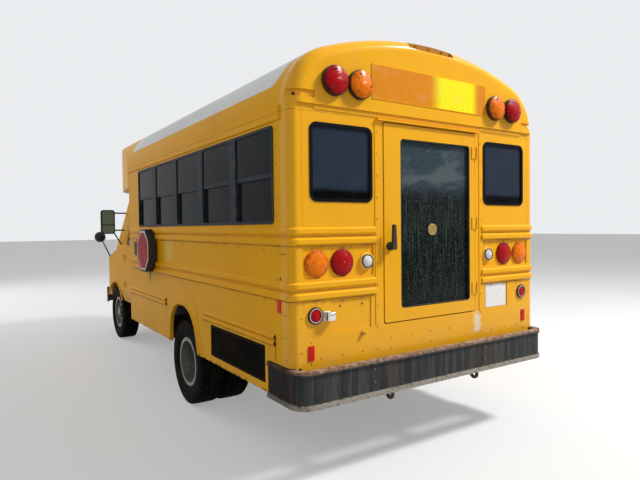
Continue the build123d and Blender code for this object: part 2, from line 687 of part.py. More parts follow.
def make_hood():
    hood = cab_skin(0, 22) & hood_room(SEAM_GAP)
    creases = both_sides(block((HOOD_CREASE_X, HOOD_CREASE_X + 7), (NOSE_Y, COWL_Y - 60), (1080, 1500)))
    hood -= cab_skin(-1, 3) & creases
    for side in (1, -1):
        x = sorted((side * 480, side * 580))
        hood += bar_x(HOOD_HINGE_R, x, HOOD_HINGE_Y, HOOD_HINGE_Z)
    return hood


def make_windshield():
    pane = cab_skin(10, 10 + GLASS) & along(windshield_face(0), (COWL_Y - 100, HEADER_Y + 40))
    return pane


def make_driver_door():
    side = (CAB_HALF - 305, CAB_REACH)
    door = cab_skin(0, DOOR_DEPTH) & across(driver_door_face(SEAM_GAP), side)
    door -= across(driver_glass_face(), side)
    hinge_y = DRIVER_DOOR_Y[0] - HINGE_R
    for z in ((820, 890), (1200, 1270)):
        door += bar_z(HINGE_R, CAB_HALF + HINGE_R + SEAT_GAP, hinge_y, z)
        strap_end = DRIVER_DOOR_Y[0] + 60
        door += block((CAB_HALF - 2, CAB_HALF + 8), (DRIVER_DOOR_Y[0] + SEAM_GAP + 4, strap_end), z)
        door += block((CAB_HALF + 2, CAB_HALF + 8), (hinge_y, strap_end), z)
    return door


def make_driver_glass():
    return cab_skin(14, 14 + GLASS) & across(driver_glass_face(), (CAB_HALF - 305, CAB_REACH))


def make_grilles():
    """The nose grille and the black louvred panel in the left skirt."""
    span = (NOSE_Y + 10, NOSE_Y + 34)
    face = window((-GRILLE_HALF, GRILLE_HALF), GRILLE_Z, 40)
    room = window((-GRILLE_HALF + 25, GRILLE_HALF - 25), (GRILLE_Z[0] + 25, GRILLE_Z[1] - 25), 20)
    nose = along(face - room, span)
    for step in range(1, 6):
        z = GRILLE_Z[0] + step * (GRILLE_Z[1] - GRILLE_Z[0]) / 6
        nose += block((-GRILLE_HALF + 5, GRILLE_HALF - 5), span, (z - 7, z + 7))
    y, z = LOUVRE_Y, LOUVRE_Z
    hole = window((y[0] + 22, y[1] - 22), (z[0] + 22, z[1] - 22), 6)
    skirt = across(window(y, z, 12) - hole, (HALF - SKIRT, HALF))
    for step in range(1, SLAT_COUNT + 1):
        slat_z = z[0] + step * (z[1] - z[0]) / (SLAT_COUNT + 1)
        slat = outline([(-19, 0), (-1, -12), (-1, -7), (-19, 5)])
        skirt += Pos(HALF, 0, slat_z) * along(slat, (y[0] + 20, y[1] - 20))
    return solids_of(nose, skirt)


# Floor, steps and firewall


STEP_INNER_X = -640
STEP_OUTER_X = 45 - HALF
STEP_COUNT = 3
ENGINE_ROOM = 275  # half width of the hollow under the engine cover


def make_floor():
    """Bus floor on cross sills, cab floor, firewall, engine cover and entrance steps."""
    under = FLOOR_Z - FLOOR
    floor = block((WALL - HALF, HALF - WALL), (BODY_FRONT_Y + WALL, REAR_Y - WALL), (under, FLOOR_Z))
    floor = fillet(floor.edges().filter_by(Axis.Z).group_by(Axis.Y)[-1], CORNER_R - WALL)
    for step in range(6):
        y = REAR_Y - 320 - step * 640
        floor += block((SKIRT - HALF, HALF - SKIRT), (y - 30, y + 30), (RAIL_TOP_Z, under))
    pan = (CAB_FLOOR_Z - 30, CAB_FLOOR_Z)
    side = CAB_HALF - 55
    floor += block((STEP_INNER_X, side), (FIREWALL_Y - 20, BODY_FRONT_Y + WALL), pan)
    floor += block((WALL - HALF, side), (BODY_FRONT_Y + 20, BODY_FRONT_Y + WALL), (pan[0], FLOOR_Z))
    floor += block((50 - side, side), (FIREWALL_Y - 20, FIREWALL_Y), (pan[0], 1290))
    rise = (CAB_FLOOR_Z - ENTRANCE_Z[0]) / STEP_COUNT
    going = (STEP_INNER_X - STEP_OUTER_X) / STEP_COUNT
    for step in range(STEP_COUNT):
        x = STEP_OUTER_X + step * going
        z = ENTRANCE_Z[0] + step * rise
        floor += block((x, x + going), ENTRANCE_Y, (z - 25, z))
        floor += block((x + going - 20, x + going), ENTRANCE_Y, (z - 25, z + rise))
    for y in (ENTRANCE_Y[0], ENTRANCE_Y[1] + 20):
        floor += block((STEP_OUTER_X, STEP_INNER_X), (y - 20, y), (ENTRANCE_Z[0] - 25, CAB_FLOOR_Z))
    cover = block((-ENGINE_ROOM - 25, ENGINE_ROOM + 25), (FIREWALL_Y - 10, FIREWALL_Y + 760), (pan[0], 1130))
    cover = chamfer(cover.edges().filter_by(Axis.X).sort_by(Axis.Z)[-1], 120)
    room = block((-ENGINE_ROOM, ENGINE_ROOM), (FIREWALL_Y - 100, FIREWALL_Y + 640), (pan[0] - 1, 1000))
    return floor + cover - room


# Chassis

ENGINE_BACK = 430  # rear of the engine block behind the front axle


RAIL_WEB = 8
BUMPER_SKIN = 12
BUMPER_LIP = 10  # the rolled top and bottom lips stand this far proud of the bumper's face
BUMPER_LIP_DEPTH = 50
BUMPER_FACE_Y = REAR_Y + BUMPER_REACH - BUMPER_LIP - BUMPER_SKIN
REAR_EYE_Y = REAR_Y + BUMPER_REACH - BUMPER_LIP_DEPTH - TOW_EYE_HALF - 2


def tow_eye(y, z, top_z):
    """A plate with a round eye, hung from top_z."""
    plate = window((y - TOW_EYE_HALF, y + TOW_EYE_HALF), (z - TOW_EYE_HALF, top_z + 2), TOW_EYE_HALF - 2)
    plate -= Pos(y, z) * Circle(TOW_EYE_R)
    plate &= Pos(y, z) * Rectangle(200, 2 * (top_z - z))
    return across(plate, (TOW_EYE_X - TOW_EYE_PLATE / 2, TOW_EYE_X + TOW_EYE_PLATE / 2))


def rail_profile_y():
    """Each rail's side outline: straight, with a lower tail that carries the bumper."""
    low = RAIL_TOP_Z - FRAME_DEPTH
    front = NOSE_Y + 40
    tail = REAR_Y - 150
    return outline(
        [
            (front, low),
            (front, low + 90),
            (front + 300, RAIL_TOP_Z),
            (tail - 60, RAIL_TOP_Z),
            (tail, BUMPER_ARM_Z[1]),
            (BUMPER_FACE_Y, BUMPER_ARM_Z[1]),
            (BUMPER_FACE_Y, BUMPER_ARM_Z[0]),
            (tail, BUMPER_ARM_Z[0]),
            (tail - 60, low),
        ]
    )


def make_frame_rails():
    rail = across(rail_profile_y(), FRAME_X)
    inside = offset(rail_profile_y(), amount=-RAIL_WEB, kind=Kind.INTERSECTION)
    rail -= across(inside, (FRAME_X[0] - 1, FRAME_X[1] - RAIL_WEB))
    rail += tow_eye(REAR_EYE_Y, 480, BUMPER_ARM_Z[0])
    return solids_of(rail, mirror(rail, about=Plane.YZ))


CROSSMEMBER_Y = (
    FRONT_Y + 480,
    BODY_FRONT_Y - 560,
    BODY_FRONT_Y + 240,
    BODY_FRONT_Y + 1240,
    REAR_AXLE_Y + 620,
    REAR_Y - 430,
)


def make_crossmembers():
    inner = FRAME_X[1] - RAIL_WEB
    members = []
    for y in CROSSMEMBER_Y:
        member = block((-inner, inner), (y - 35, y + 35), (640, 760))
        member -= block((-inner, inner), (y - 27, y + 40), (648, 752))
        members.append(member)
    return solids_of(*members)


def leaf_spring(y, seat_z):
    """One multi-leaf spring under a rail, with its eyes and hangers."""
    half_span = 560
    eye_z = RAIL_TOP_Z - FRAME_DEPTH - 45
    low = ThreePointArc((y - half_span, eye_z - 8), (y, seat_z), (y + half_span, eye_z - 8))
    top = ThreePointArc((y - half_span, eye_z + 8), (y, seat_z + 60), (y + half_span, eye_z + 8))
    ends = [Line((y + side * half_span, eye_z - 8), (y + side * half_span, eye_z + 8)) for side in (1, -1)]
    spring = across(make_face([low, top] + ends), FRAME_X)
    for side in (1, -1):
        eye_y = y + side * half_span
        spring += bar_x(24, FRAME_X, eye_y, eye_z)
        spring += block(FRAME_X, (eye_y - 18, eye_y + 18), (eye_z, RAIL_TOP_Z - FRAME_DEPTH))
    return spring


def make_leaf_springs():
    springs = [leaf_spring(FRONT_AXLE_Y, TYRE_R + 40), leaf_spring(REAR_AXLE_Y, TYRE_R + 45)]
    return solids_of(*springs, *[mirror(spring, about=Plane.YZ) for spring in springs])


def make_front_axle():
    """Forged beam with an eye and a fixed kingpin at each end."""
    y, z = FRONT_AXLE_Y, TYRE_R
    beam = block((-KINGPIN_X, KINGPIN_X), (y - 30, y + 30), (z - 40, z + 40))
    beam -= both_sides(block((60, KINGPIN_X - 90), (y + 12, y + 40), (z - 26, z + 26)))
    beam -= both_sides(block((60, KINGPIN_X - 90), (y - 40, y - 12), (z - 26, z + 26)))
    ends = bar_z(42, KINGPIN_X, y, (z - 40, z + 40)) + bar_z(17, KINGPIN_X, y, (z - 92, z + 92))
    return beam + both_sides(ends)


def make_knuckle():
    """Left steering knuckle: a fork round the axle's eye, with the wheel spindle and steering arm."""
    y, z = FRONT_AXLE_Y, TYRE_R
    ears = bar_z(40, KINGPIN_X, y, (z - 92, z - 45)) + bar_z(40, KINGPIN_X, y, (z + 45, z + 92))
    web = block((KINGPIN_X + 48, KINGPIN_X + 66), (y - 40, y + 40), (z - 92, z + 92))
    for low in (z - 92, z + 45):
        web += block((KINGPIN_X, KINGPIN_X + 66), (y - 36, y + 36), (low, low + 47))
    pin = bar_z(17 + BEARING_GAP, KINGPIN_X, y, (z - 100, z + 100))
    spindle = bar_x(SPINDLE_R, (KINGPIN_X + 60, FRONT_TYRE_X + 77), y, z)
    arm = block((KINGPIN_X - 30, KINGPIN_X), (y + 30, y + 170), (z - 88, z - 64))
    return ears + web + spindle + arm - pin


def make_rear_axle():
    """Axle tube with its differential, propeller shaft and spring seats."""
    y, z = REAR_AXLE_Y, TYRE_R
    tip = REAR_OUTER_X - 20
    casing = outline(
        [(-tip, 0), (-tip, SPINDLE_R), (-640, SPINDLE_R), (-640, 45), (-210, 45), (-80, 160), (80, 160)]
        + [(210, 45), (640, 45), (640, SPINDLE_R), (tip, SPINDLE_R), (tip, 0)],
        [0, 0, 0, 0, 60, 60, 60, 60, 0, 0, 0, 0],
    )
    axle = Pos(0, y, z) * revolve(casing, axis=Axis.X)
    axle += bar_y(62, 0, (y - 230, y - 100), z)
    axle += both_sides(block((FRAME_X[0] - 10, FRAME_X[1] + 10), (y - 60, y + 60), (z, z + 45)))
    start = Vector(0, FRONT_AXLE_Y + ENGINE_BACK + 3, 600)
    run = Vector(0, y - 225, z) - start
    shaft = Plane(origin=start, z_dir=run) * Pos(0, 0, run.length / 2) * Cylinder(38, run.length)
    return axle + shaft


def make_engine():
    """The engine and its gearbox as one plain block on two mounts."""
    engine = block((-240, 240), (FRONT_AXLE_Y - 300, FRONT_AXLE_Y + ENGINE_BACK), (500, 960))
    mount_x = FRAME_X[1] - RAIL_WEB
    return engine + block((-mount_x, mount_x), (FRONT_AXLE_Y + 90, FRONT_AXLE_Y + 150), (645, 705))


def make_fuel_tank():
    tank = block((500, HALF - 75), (REAR_Y - 3350, REAR_Y - 2560), (500, 775))
    tank = fillet(tank.edges().filter_by(Axis.Y), 60)
    for y in (REAR_Y - 3180, REAR_Y - 2730):
        tank += block((FRAME_X[1], 560), (y - 25, y + 25), (660, 700))
    return tank


def make_exhaust():
    route = FilletPolyline(
        (-565, FRONT_AXLE_Y + 500, 555),
        (-565, REAR_Y - 1150, 555),
        (-760, REAR_Y - 800, 490),
        (25 - HALF, REAR_Y - 760, 480),
        radius=110,
    )
    pipe = sweep(Plane(origin=route @ 0, z_dir=route % 0) * Circle(30), path=route)
    muffler = bar_y(85, -580, (REAR_Y - 3500, REAR_Y - 2850), 560)
    hanger = block((-590, -570), (REAR_Y - 3250, REAR_Y - 3190), (640, FLOOR_Z - FLOOR))
    return pipe + muffler + hanger


# Wheels


def tyre(x):
    """One tyre, turned about the wheel's axis, its middle at x."""
    half = TYRE_WIDTH / 2
    side = [
        (RIM_SEAT - BEAD_GAP, RIM_R),
        (half, TYRE_BULGE_R),
        (half - 7, TYRE_R - TYRE_SHOULDER),
        (half - TYRE_SHOULDER, TYRE_R),
    ]
    other = [(-across_x, r) for across_x, r in reversed(side)]
    ring = revolve(outline(side + other), axis=Axis.X)
    return Pos(x, 0, TYRE_R) * ring


def hub(x, radius, cap_radius):
    """A hub on the spindle between two stations, closed by a cap past the spindle's end."""
    body = bar_x(radius, x, 0, TYRE_R) - bar_x(SPINDLE_R + BEARING_GAP, (x[0], x[1] - HUB_CAP), 0, TYRE_R)
    cap = bar_x(cap_radius, (x[1] - 1, x[1] + HUB_CAP), 0, TYRE_R)
    return body + chamfer(cap.edges().filter_by(GeomType.CIRCLE).sort_by(Axis.X)[-1], HUB_CAP / 2)


def rim(x, disc_x, dish):
    """A steel wheel: barrel with lips, and a dished disc at disc_x with hand holes and hub bore."""
    half = RIM_WIDTH / 2
    lip = [(half, 192), (half, RIM_LIP_R), (RIM_SEAT + RIM_FLARE, RIM_LIP_R), (RIM_SEAT, RIM_R)]
    other = [(-across_x, r) for across_x, r in reversed(lip)]
    ring = revolve(outline(lip + other), axis=Axis.X)
    bore = SPINDLE_R + BEARING_GAP
    hub_x = disc_x + dish
    face = [(disc_x, 193), (disc_x, 150), (hub_x, 110), (hub_x, bore)]
    back_x, rear_x = hub_x + RIM_DISC, disc_x + RIM_DISC
    face += [(back_x, bore), (back_x, 116), (rear_x, 156), (rear_x, 193)]
    ring += revolve(outline(face), axis=Axis.X)
    for turn in range(8):
        hole = Rot(turn * 45, 0, 0) * Pos(disc_x + 7 + dish / 3, 0, 155) * Rot(0, 90, 0) * Cylinder(18, 90)
        ring -= hole
    return Pos(x, 0, TYRE_R) * ring


def turned_half(part):
    return mirror(part, about=Plane.YZ)


def make_wheels():
    front_tyre = Pos(0, FRONT_AXLE_Y, 0) * tyre(FRONT_TYRE_X)
    front_hub = hub((FRONT_TYRE_X + 50, FRONT_TYRE_X + 77 + 4 + HUB_CAP), 62, 46)
    front_rim = Pos(0, FRONT_AXLE_Y, 0) * (rim(FRONT_TYRE_X, 20, 30) + front_hub)
    inner_x = REAR_OUTER_X - TWIN_SPACING
    rear_tyres = Pos(0, REAR_AXLE_Y, 0) * solids_of(tyre(REAR_OUTER_X), tyre(inner_x))
    outer = rim(REAR_OUTER_X, -60, -40)
    inner = rim(inner_x, 60, 40)
    link = Pos(0, 0, TYRE_R) * bar_x(110, (inner_x + 110, REAR_OUTER_X - 96), 0, 0)
    link -= Pos(0, 0, TYRE_R) * bar_x(SPINDLE_R + BEARING_GAP, (inner_x, REAR_OUTER_X), 0, 0)
    rear_hub = hub((REAR_OUTER_X - 100, REAR_OUTER_X - 20 + 4 + HUB_CAP), 84, 66)
    rear_rims = Pos(0, REAR_AXLE_Y, 0) * (outer + inner + link + rear_hub)
    return {
        "front_left_tyre": front_tyre,
        "front_left_rim": front_rim,
        "rear_left_tyres": rear_tyres,
        "rear_left_rims": rear_rims,
    }


# Bumpers

BUMPER_Z = (517, 753)
FRONT_BUMPER_Z = (470, 700)


def bumper_plan(grow, wrap):
    side = HALF + 15 + grow
    back = REAR_Y + BUMPER_REACH + grow
    corner = 110 + grow
    return outline([(side, wrap), (side, back), (-side, back), (-side, wrap)], [0, corner, corner, 0])


def make_rear_bumper():
    wrap = REAR_Y - 305
    inside = bumper_plan(-BUMPER_LIP - BUMPER_SKIN, wrap - 1)
    face = upright(bumper_plan(-BUMPER_LIP, wrap) - inside, BUMPER_Z)
    lip = bumper_plan(0, wrap) - bumper_plan(-BUMPER_LIP_DEPTH, wrap - 1)
    for z in ((BUMPER_Z[0], BUMPER_Z[0] + 28), (BUMPER_Z[1] - 28, BUMPER_Z[1])):
        face += upright(lip, z)
    return face


def make_front_bumper():
    side, flat, back = CAB_HALF - 20, CAB_HALF - 185, FRONT_Y + 240
    points = [(-side, back), (-side, FRONT_Y + 130), (-flat, FRONT_Y)]
    points += [(-x, y) for x, y in reversed(points)]
    plan = outline(points, [0, 60, 120, 120, 60, 0])
    hollow = offset(plan, amount=-BUMPER_SKIN, kind=Kind.INTERSECTION)
    hollow += Pos(0, BUMPER_SKIN) * hollow
    bumper = upright(plan - hollow, FRONT_BUMPER_Z)
    arms = block((FRAME_X[0], FRAME_X[1]), (FRONT_Y + 10, NOSE_Y + 40), (600, 690))
    arms += tow_eye(FRONT_Y + 60, 430, 600)
    return bumper + both_sides(arms)


# Lamps


def lamp(x, y, z, radius, depth, facing):
    """A round lens on a vertical face at y: a short rim and a domed front, turned about its middle."""
    rim_depth = depth * LENS_RIM
    rise = depth - rim_depth
    dome_r = (radius**2 + rise**2) / (2 * rise)
    half_way = depth - dome_r + math.sqrt(dome_r**2 - radius**2 / 4)
    profile = make_face(
        [
            Line((0, 0), (radius, 0)),
            Line((radius, 0), (radius, rim_depth)),
            ThreePointArc((radius, rim_depth), (radius / 2, half_way), (0, depth)),
            Line((0, depth), (0, 0)),
        ]
    )
    turn = 0 if facing > 0 else 180
    return Pos(x, y, z) * Rot(0, 0, turn) * revolve(profile, axis=Axis.Y)


HOUSING = 28  # depth of the black drums behind the warning lamps
GROMMET = 12  # width and height of the rubber rings round the stop lamps
LENS_RIM = 0.35  # share of a lens's depth that is its straight rim
CAP_LAMP_Y = REAR_Y + CAP_PROUD
FRONT_LAMP_Z = 2440
FRONT_WARNING_X = (("red", 690), ("amber", 490))


def make_lamps(colour):
    """All round lenses of one colour, on both ends of the bus."""
    seats = []
    for name, x in REAR_WARNING_X:
        seats.append((name, x, CAP_LAMP_Y + HOUSING, WARNING_LAMP_Z, WARNING_LAMP_R, 1))
    for name, x in FRONT_WARNING_X:
        seats.append((name, x, CAP_FRONT_Y - HOUSING, FRONT_LAMP_Z, WARNING_LAMP_R, -1))
    for name, x, z, radius in PANEL_LAMPS:
        seats.append((name, x, REAR_Y - LAMP_PANEL_RECESS, z, radius, 1))
    x, z, radius = STOP_LAMP
    seats.append(("red", x, REAR_Y, z, radius - GROMMET, 1))
    lenses = []
    for name, x, y, z, radius, facing in seats:
        if name == colour:
            proud = LAMP_PROUD if radius > 50 else GROMMET + 4
            lenses += [lamp(side * x, y, z, radius, proud, facing) for side in (1, -1)]
    return lenses


def make_nose_lamps(span):
    """The lens over one stretch of each headlamp opening."""
    lamps = []
    room = block(span, (NOSE_Y - 10, NOSE_Y + 200), HEADLAMP_Z)
    for side in (1, -1):
        face = window(sorted((side * HEADLAMP_X[0], side * HEADLAMP_X[1])), HEADLAMP_Z, 30)
        lens = cab_skin(3, 60) & along(face, (NOSE_Y - 10, NOSE_Y + 200))
        lamps.append(lens & (room if side > 0 else mirror(room, about=Plane.YZ)))
    return lamps


def make_lamp_housings():
    """Black drums behind the eight warning lamps, and rubber rings round the stop lamps."""
    rings = []
    x, z, radius = STOP_LAMP
    for side in (1, -1):
        for _, lamp_x in REAR_WARNING_X:
            span = (CAP_LAMP_Y, CAP_LAMP_Y + HOUSING)
            rings.append(bar_y(WARNING_LAMP_R + 6, side * lamp_x, span, WARNING_LAMP_Z))
        for _, lamp_x in FRONT_WARNING_X:
            span = (CAP_FRONT_Y - HOUSING, CAP_FRONT_Y)
            rings.append(bar_y(WARNING_LAMP_R + 6, side * lamp_x, span, FRONT_LAMP_Z))
        ring = bar_y(radius, side * x, (REAR_Y, REAR_Y + GROMMET), z)
        rings.append(ring - bar_y(radius - GROMMET + SEAT_GAP, side * x, (REAR_Y, REAR_Y + GROMMET), z))
    return solids_of(*rings)


# Doors, stop arm and mirrors


def make_leaf(front):
    """One leaf of the entrance door."""
    middle = sum(ENTRANCE_Y) / 2
    if front:
        y = (ENTRANCE_Y[0] + SEAM_GAP, middle - LEAF_GAP / 2)
    else:
        y = (middle + LEAF_GAP / 2, ENTRANCE_Y[1] - SEAM_GAP)
    z = (ENTRANCE_Z[0] + 10, ENTRANCE_Z[1] - SEAM_GAP)
    pane = window((y[0] + 55, y[1] - 55), (900, 2000), 40)
    leaf = across(window(y, z, 12) - pane, (-HALF, LEAF - HALF))
    hinge_y = ENTRANCE_Y[0] - LEAF_HINGE_OUT if front else ENTRANCE_Y[1] + LEAF_HINGE_OUT
    strap = sorted((hinge_y, hinge_y + (60 if front else -60)))
    for hinge_z in ((600, 680), (1240, 1320), (1880, 1960)):
        leaf += bar_z(HINGE_R, -HALF - HINGE_R - SEAT_GAP, hinge_y, hinge_z)
        leaf += block((-HALF - 8, -HALF - 2), strap, hinge_z)
        root = (strap[0] + 15, strap[1]) if front else (strap[0], strap[1] - 15)
        leaf += block((-HALF - 8, -HALF + 2), root, hinge_z)
    glass = across(pane, (-HALF + 14, -HALF + 14 + GLASS))
    return leaf, glass


def make_stop_arm():
    """The stop arm: an octagonal drum with a recessed face, on a hinge plate."""
    octagon = Pos(STOP_CENTRE_Y, STOP_Z) * Rot(0, 0, 22.5)
    corner_r = STOP_ACROSS_FLATS / 2 / math.cos(math.radians(22.5))
    arm = across(octagon * RegularPolygon(corner_r, 8), STOP_X)
    arm = chamfer([e for e in arm.edges() if e.center().X > STOP_X[1] - 1], 4)
    face = octagon * RegularPolygon(corner_r - 14, 8)
    arm -= across(face, (STOP_X[1] - STOP_FACE_RECESS, STOP_X[1] + 1))
    plate_x = (STOP_PIN_X - 4, STOP_PIN_X + 8)
    arm += block(plate_x, (STOP_HINGE_Y, STOP_CENTRE_Y - STOP_ACROSS_FLATS / 3), (STOP_Z - 50, STOP_Z + 50))
    return arm + bar_z(STOP_PIN_R, STOP_PIN_X, STOP_HINGE_Y, (STOP_Z - 55, STOP_Z + 55))


def rod(radius, start, end):
    """A round bar between two points."""
    run = Vector(*end) - Vector(*start)
    return Plane(origin=start, z_dir=run) * Pos(0, 0, run.length / 2) * Cylinder(radius, run.length)


def make_mirrors():
    """A flat mirror on two arms beside each door, and a round one on a tripod on each fender."""
    x, y = CAB_HALF + 100, DRIVER_DOOR_Y[0] - 80
    head = block((x, x + 185), (y - 45, y), (1560, 1893))
    head = fillet(head.edges().filter_by(Axis.Y), 34)
    head = fillet(head.faces().sort_by(Axis.Y)[0].edges(), 14)
    arms = rod(10, (CAB_HALF - 80, y - 25, 1850), (x + 40, y - 25, 1850))
    arms += rod(10, (CAB_HALF - 60, y - 25, 1610), (x + 40, y - 25, 1610))
    arms += rod(9, (CAB_HALF - 60, y - 160, 1330), (x + 25, y - 25, 1600))
    low = NOSE_Y + 380
    ball = Pos(x + 30, low, 1508) * Sphere(80) & block((x - 60, x + 120), (low - 5, low + 90), (1400, 1620))
    for foot in ((CAB_HALF - 70, low + 60, 1050), (CAB_HALF - 110, low - 120, 1050)):
        ball += rod(8, foot, (x + 30, low + 30, 1508))
    heads = [head + (arms - cab_block(0)), ball - cab_block(0)]
    return solids_of(*heads, *[mirror(part, about=Plane.YZ) for part in heads])


# Inside


SEAT_ROWS = 4
SEAT_PITCH = 760
SEAT_DEPTH = 400
SEAT_PAD = 120
BACK_PAD = 90
LEG_HEIGHT = 330  # floor to the underside of a bench cushion
BACK_HEIGHT = 1020
BENCH_X = (230, HALF - WALL - 20)


def bench_rows():
    """The y of each row's seat back, front face, from the rear row forwards."""
    return [REAR_Y - 650 - row * SEAT_PITCH for row in range(SEAT_ROWS)]


def make_seats():
    """Padded cushions and backs of the benches and of the driver's seat."""
    pads = []
    for y in bench_rows():
        low = FLOOR_Z + LEG_HEIGHT
        cushion = block(BENCH_X, (y - SEAT_DEPTH, y - SEAT_GAP), (low, low + SEAT_PAD))
        back = block(BENCH_X, (y, y + BACK_PAD), (low, FLOOR_Z + BACK_HEIGHT))
        pads.append(fillet(cushion.edges().filter_by(Axis.X), 30))
        pads.append(fillet(back.edges().filter_by(Axis.X), 25))
    pads += [mirror(pad, about=Plane.YZ) for pad in pads]
    y = DRIVER_SEAT_Y
    low = CAB_FLOOR_Z + LEG_HEIGHT
    cushion = block((380, 860), (y - 480, y - SEAT_GAP), (low, low + 110))
    back = block((400, 840), (y, y + 110), (low, CAB_FLOOR_Z + 1130))
    pads.append(fillet(cushion.edges().filter_by(Axis.Z), 60))
    pads.append(fillet(back.edges().filter_by(Axis.Y), 70))
    return solids_of(*pads)


def make_seat_frames():
    """Steel legs under the benches, and the pedestal under the driver's seat."""
    legs = []
    for y in bench_rows():
        for x in (BENCH_X[0] + 40, BENCH_X[1] - 70):
            span = (y - SEAT_DEPTH + 70, y - 20)
            legs.append(block((x, x + 30), span, (FLOOR_Z, FLOOR_Z + LEG_HEIGHT - SEAT_GAP)))
    legs += [mirror(leg, about=Plane.YZ) for leg in legs]
    span = (DRIVER_SEAT_Y - 420, DRIVER_SEAT_Y - 40)
    legs.append(block((450, 790), span, (CAB_FLOOR_Z, CAB_FLOOR_Z + LEG_HEIGHT - SEAT_GAP)))
    return solids_of(*legs)


def make_dashboard():
    """Dash top and binnacle, with the steering column and wheel in front of the driver."""
    y = FIREWALL_Y
    points = [(y, 1130), (y + 330, 1130), (y + 380, 1290), (y + 300, 1350), (y + 60, 1350), (y, 1280)]
    dash = across(outline(points, [0, 40, 50, 60, 20, 0]), (115 - CAB_HALF, CAB_HALF - 115))
    centre = Vector(620, y + 620, 1390)
    tilt = Rot(-60, 0, 0)
    spokes = Cylinder(45, 40) + Box(370, 36, 16) + Pos(0, -90, 0) * Box(36, 180, 16)
    wheel = Pos(*centre) * tilt * (Torus(190, 14) + spokes)
    column = Pos(*centre) * tilt * Pos(0, 0, -190) * Cylinder(26, 380)
    return dash + wheel + column


def main():
    leaf_front, glass_front = make_leaf(True)
    leaf_rear, glass_rear = make_leaf(False)
    knuckle = make_knuckle()
    parts = {
        "roof": make_roof(),
        "rear_cap": make_rear_cap(),
        "front_cap": make_front_cap(),
        "left_wall": make_left_wall(),
        "right_wall": make_right_wall(),
        "rear_wall": make_rear_wall(),
        "window_frames": make_window_frames(),
        "window_glass": solids_of(make_window_glass(), make_windshield()),
        "rear_door": make_rear_door(),
        "rear_door_glass": make_rear_door_glass(),
        "rear_handle": make_rear_handle(),
        "entrance_front_leaf": leaf_front,
        "entrance_front_glass": glass_front,
        "entrance_rear_leaf": leaf_rear,
        "entrance_rear_glass": glass_rear,
        "cab_shell": make_cab_shell(),
        "hood": make_hood(),
        "driver_door": make_driver_door(),
        "driver_door_glass": make_driver_glass(),
        "grilles": make_grilles(),
        "floor": make_floor(),
        "frame_rails": make_frame_rails(),
        "crossmembers": make_crossmembers(),
        "leaf_springs": make_leaf_springs(),
        "front_axle": make_front_axle(),
        "left_knuckle": knuckle,
        "right_knuckle": mirror(knuckle, about=Plane.YZ),
        "rear_axle": make_rear_axle(),
        "engine": make_engine(),
        "fuel_tank": make_fuel_tank(),
        "exhaust": make_exhaust(),
        "rear_bumper": make_rear_bumper(),
        "front_bumper": make_front_bumper(),
        "red_lamps": solids_of(*make_lamps("red")),
        "amber_lamps": solids_of(*make_lamps("amber"), *make_nose_lamps((TURN_LAMP_X, HEADLAMP_X[1]))),
        "clear_lamps": solids_of(*make_lamps("clear"), *make_nose_lamps((HEADLAMP_X[0], TURN_LAMP_X - 4))),
        "lamp_housings": make_lamp_housings(),
        "stop_arm": make_stop_arm(),
        "mirrors": make_mirrors(),
        "seats": make_seats(),
        "seat_frames": make_seat_frames(),
        "dashboard": make_dashboard(),
    }
    for name, part in make_wheels().items():
        parts[name] = part
        parts[name.replace("left", "right")] = mirror(part, about=Plane.YZ)
    os.makedirs("parts", exist_ok=True)
    for name, part in parts.items():
        export_step(part, f"parts/{name}.step")


main()
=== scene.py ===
# %% [markdown]
# # Dressing a short school bus
# Everything here is in metres, in that same frame: the nose points along -Y, the left side is
# +X, and the ground is z = 0. The panels, doors and wheels already have their real shapes, so
# this script adds the finish, the small parts and the light around them, one step at a time.

# %% Load the frame
import math

import bmesh
import bpy
from mathutils import Matrix, Vector


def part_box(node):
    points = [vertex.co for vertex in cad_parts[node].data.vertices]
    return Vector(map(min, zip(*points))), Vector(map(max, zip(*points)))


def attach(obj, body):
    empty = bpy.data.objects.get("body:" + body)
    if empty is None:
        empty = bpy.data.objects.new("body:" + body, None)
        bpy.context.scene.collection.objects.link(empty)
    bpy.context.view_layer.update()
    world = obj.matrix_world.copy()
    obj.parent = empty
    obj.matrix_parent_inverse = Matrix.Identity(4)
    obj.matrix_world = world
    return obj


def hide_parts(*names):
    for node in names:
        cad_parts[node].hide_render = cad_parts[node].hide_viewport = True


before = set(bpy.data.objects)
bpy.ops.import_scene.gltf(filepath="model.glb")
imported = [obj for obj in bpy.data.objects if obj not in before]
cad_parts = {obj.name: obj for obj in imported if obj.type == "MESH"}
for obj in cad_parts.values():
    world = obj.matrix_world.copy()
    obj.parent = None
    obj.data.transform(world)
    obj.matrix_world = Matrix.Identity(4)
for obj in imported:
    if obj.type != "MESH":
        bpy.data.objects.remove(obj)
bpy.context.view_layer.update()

# %% [markdown]
# ## Where things are
# A few places are read from the frame, so that new parts sit on the panels that carry them.
# The rest are the driving sizes of the real bus, named once.

# %% Driving places
cap_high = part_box("rear_cap")[1]
bumper_low, bumper_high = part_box("rear_bumper")
CAP_PROUD = 0.015
HALF = cap_high.x
CAP_Y = cap_high.y
REAR_Y = CAP_Y - CAP_PROUD
BODY_FRONT_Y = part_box("roof")[0].y


def middle(node):
    """The middle of a node's box."""
    low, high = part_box(node)
    return (low + high) / 2


REAR_AXLE = middle("rear_left_tyres")
FRONT_AXLE = middle("front_left_tyre")
TYRE_R = FRONT_AXLE.z
print("rear wall", round(REAR_Y, 3), "axles", round(REAR_AXLE.y, 3), round(FRONT_AXLE.y, 3))

# %% [markdown]
# ## Camera
# The photograph was taken from behind the bus and to its left, at about eye height. Its
# horizontal lines meet at two vanishing points, which fix the lens and the heading. The camera
# is placed by those few numbers, as a person would stand there with that lens.

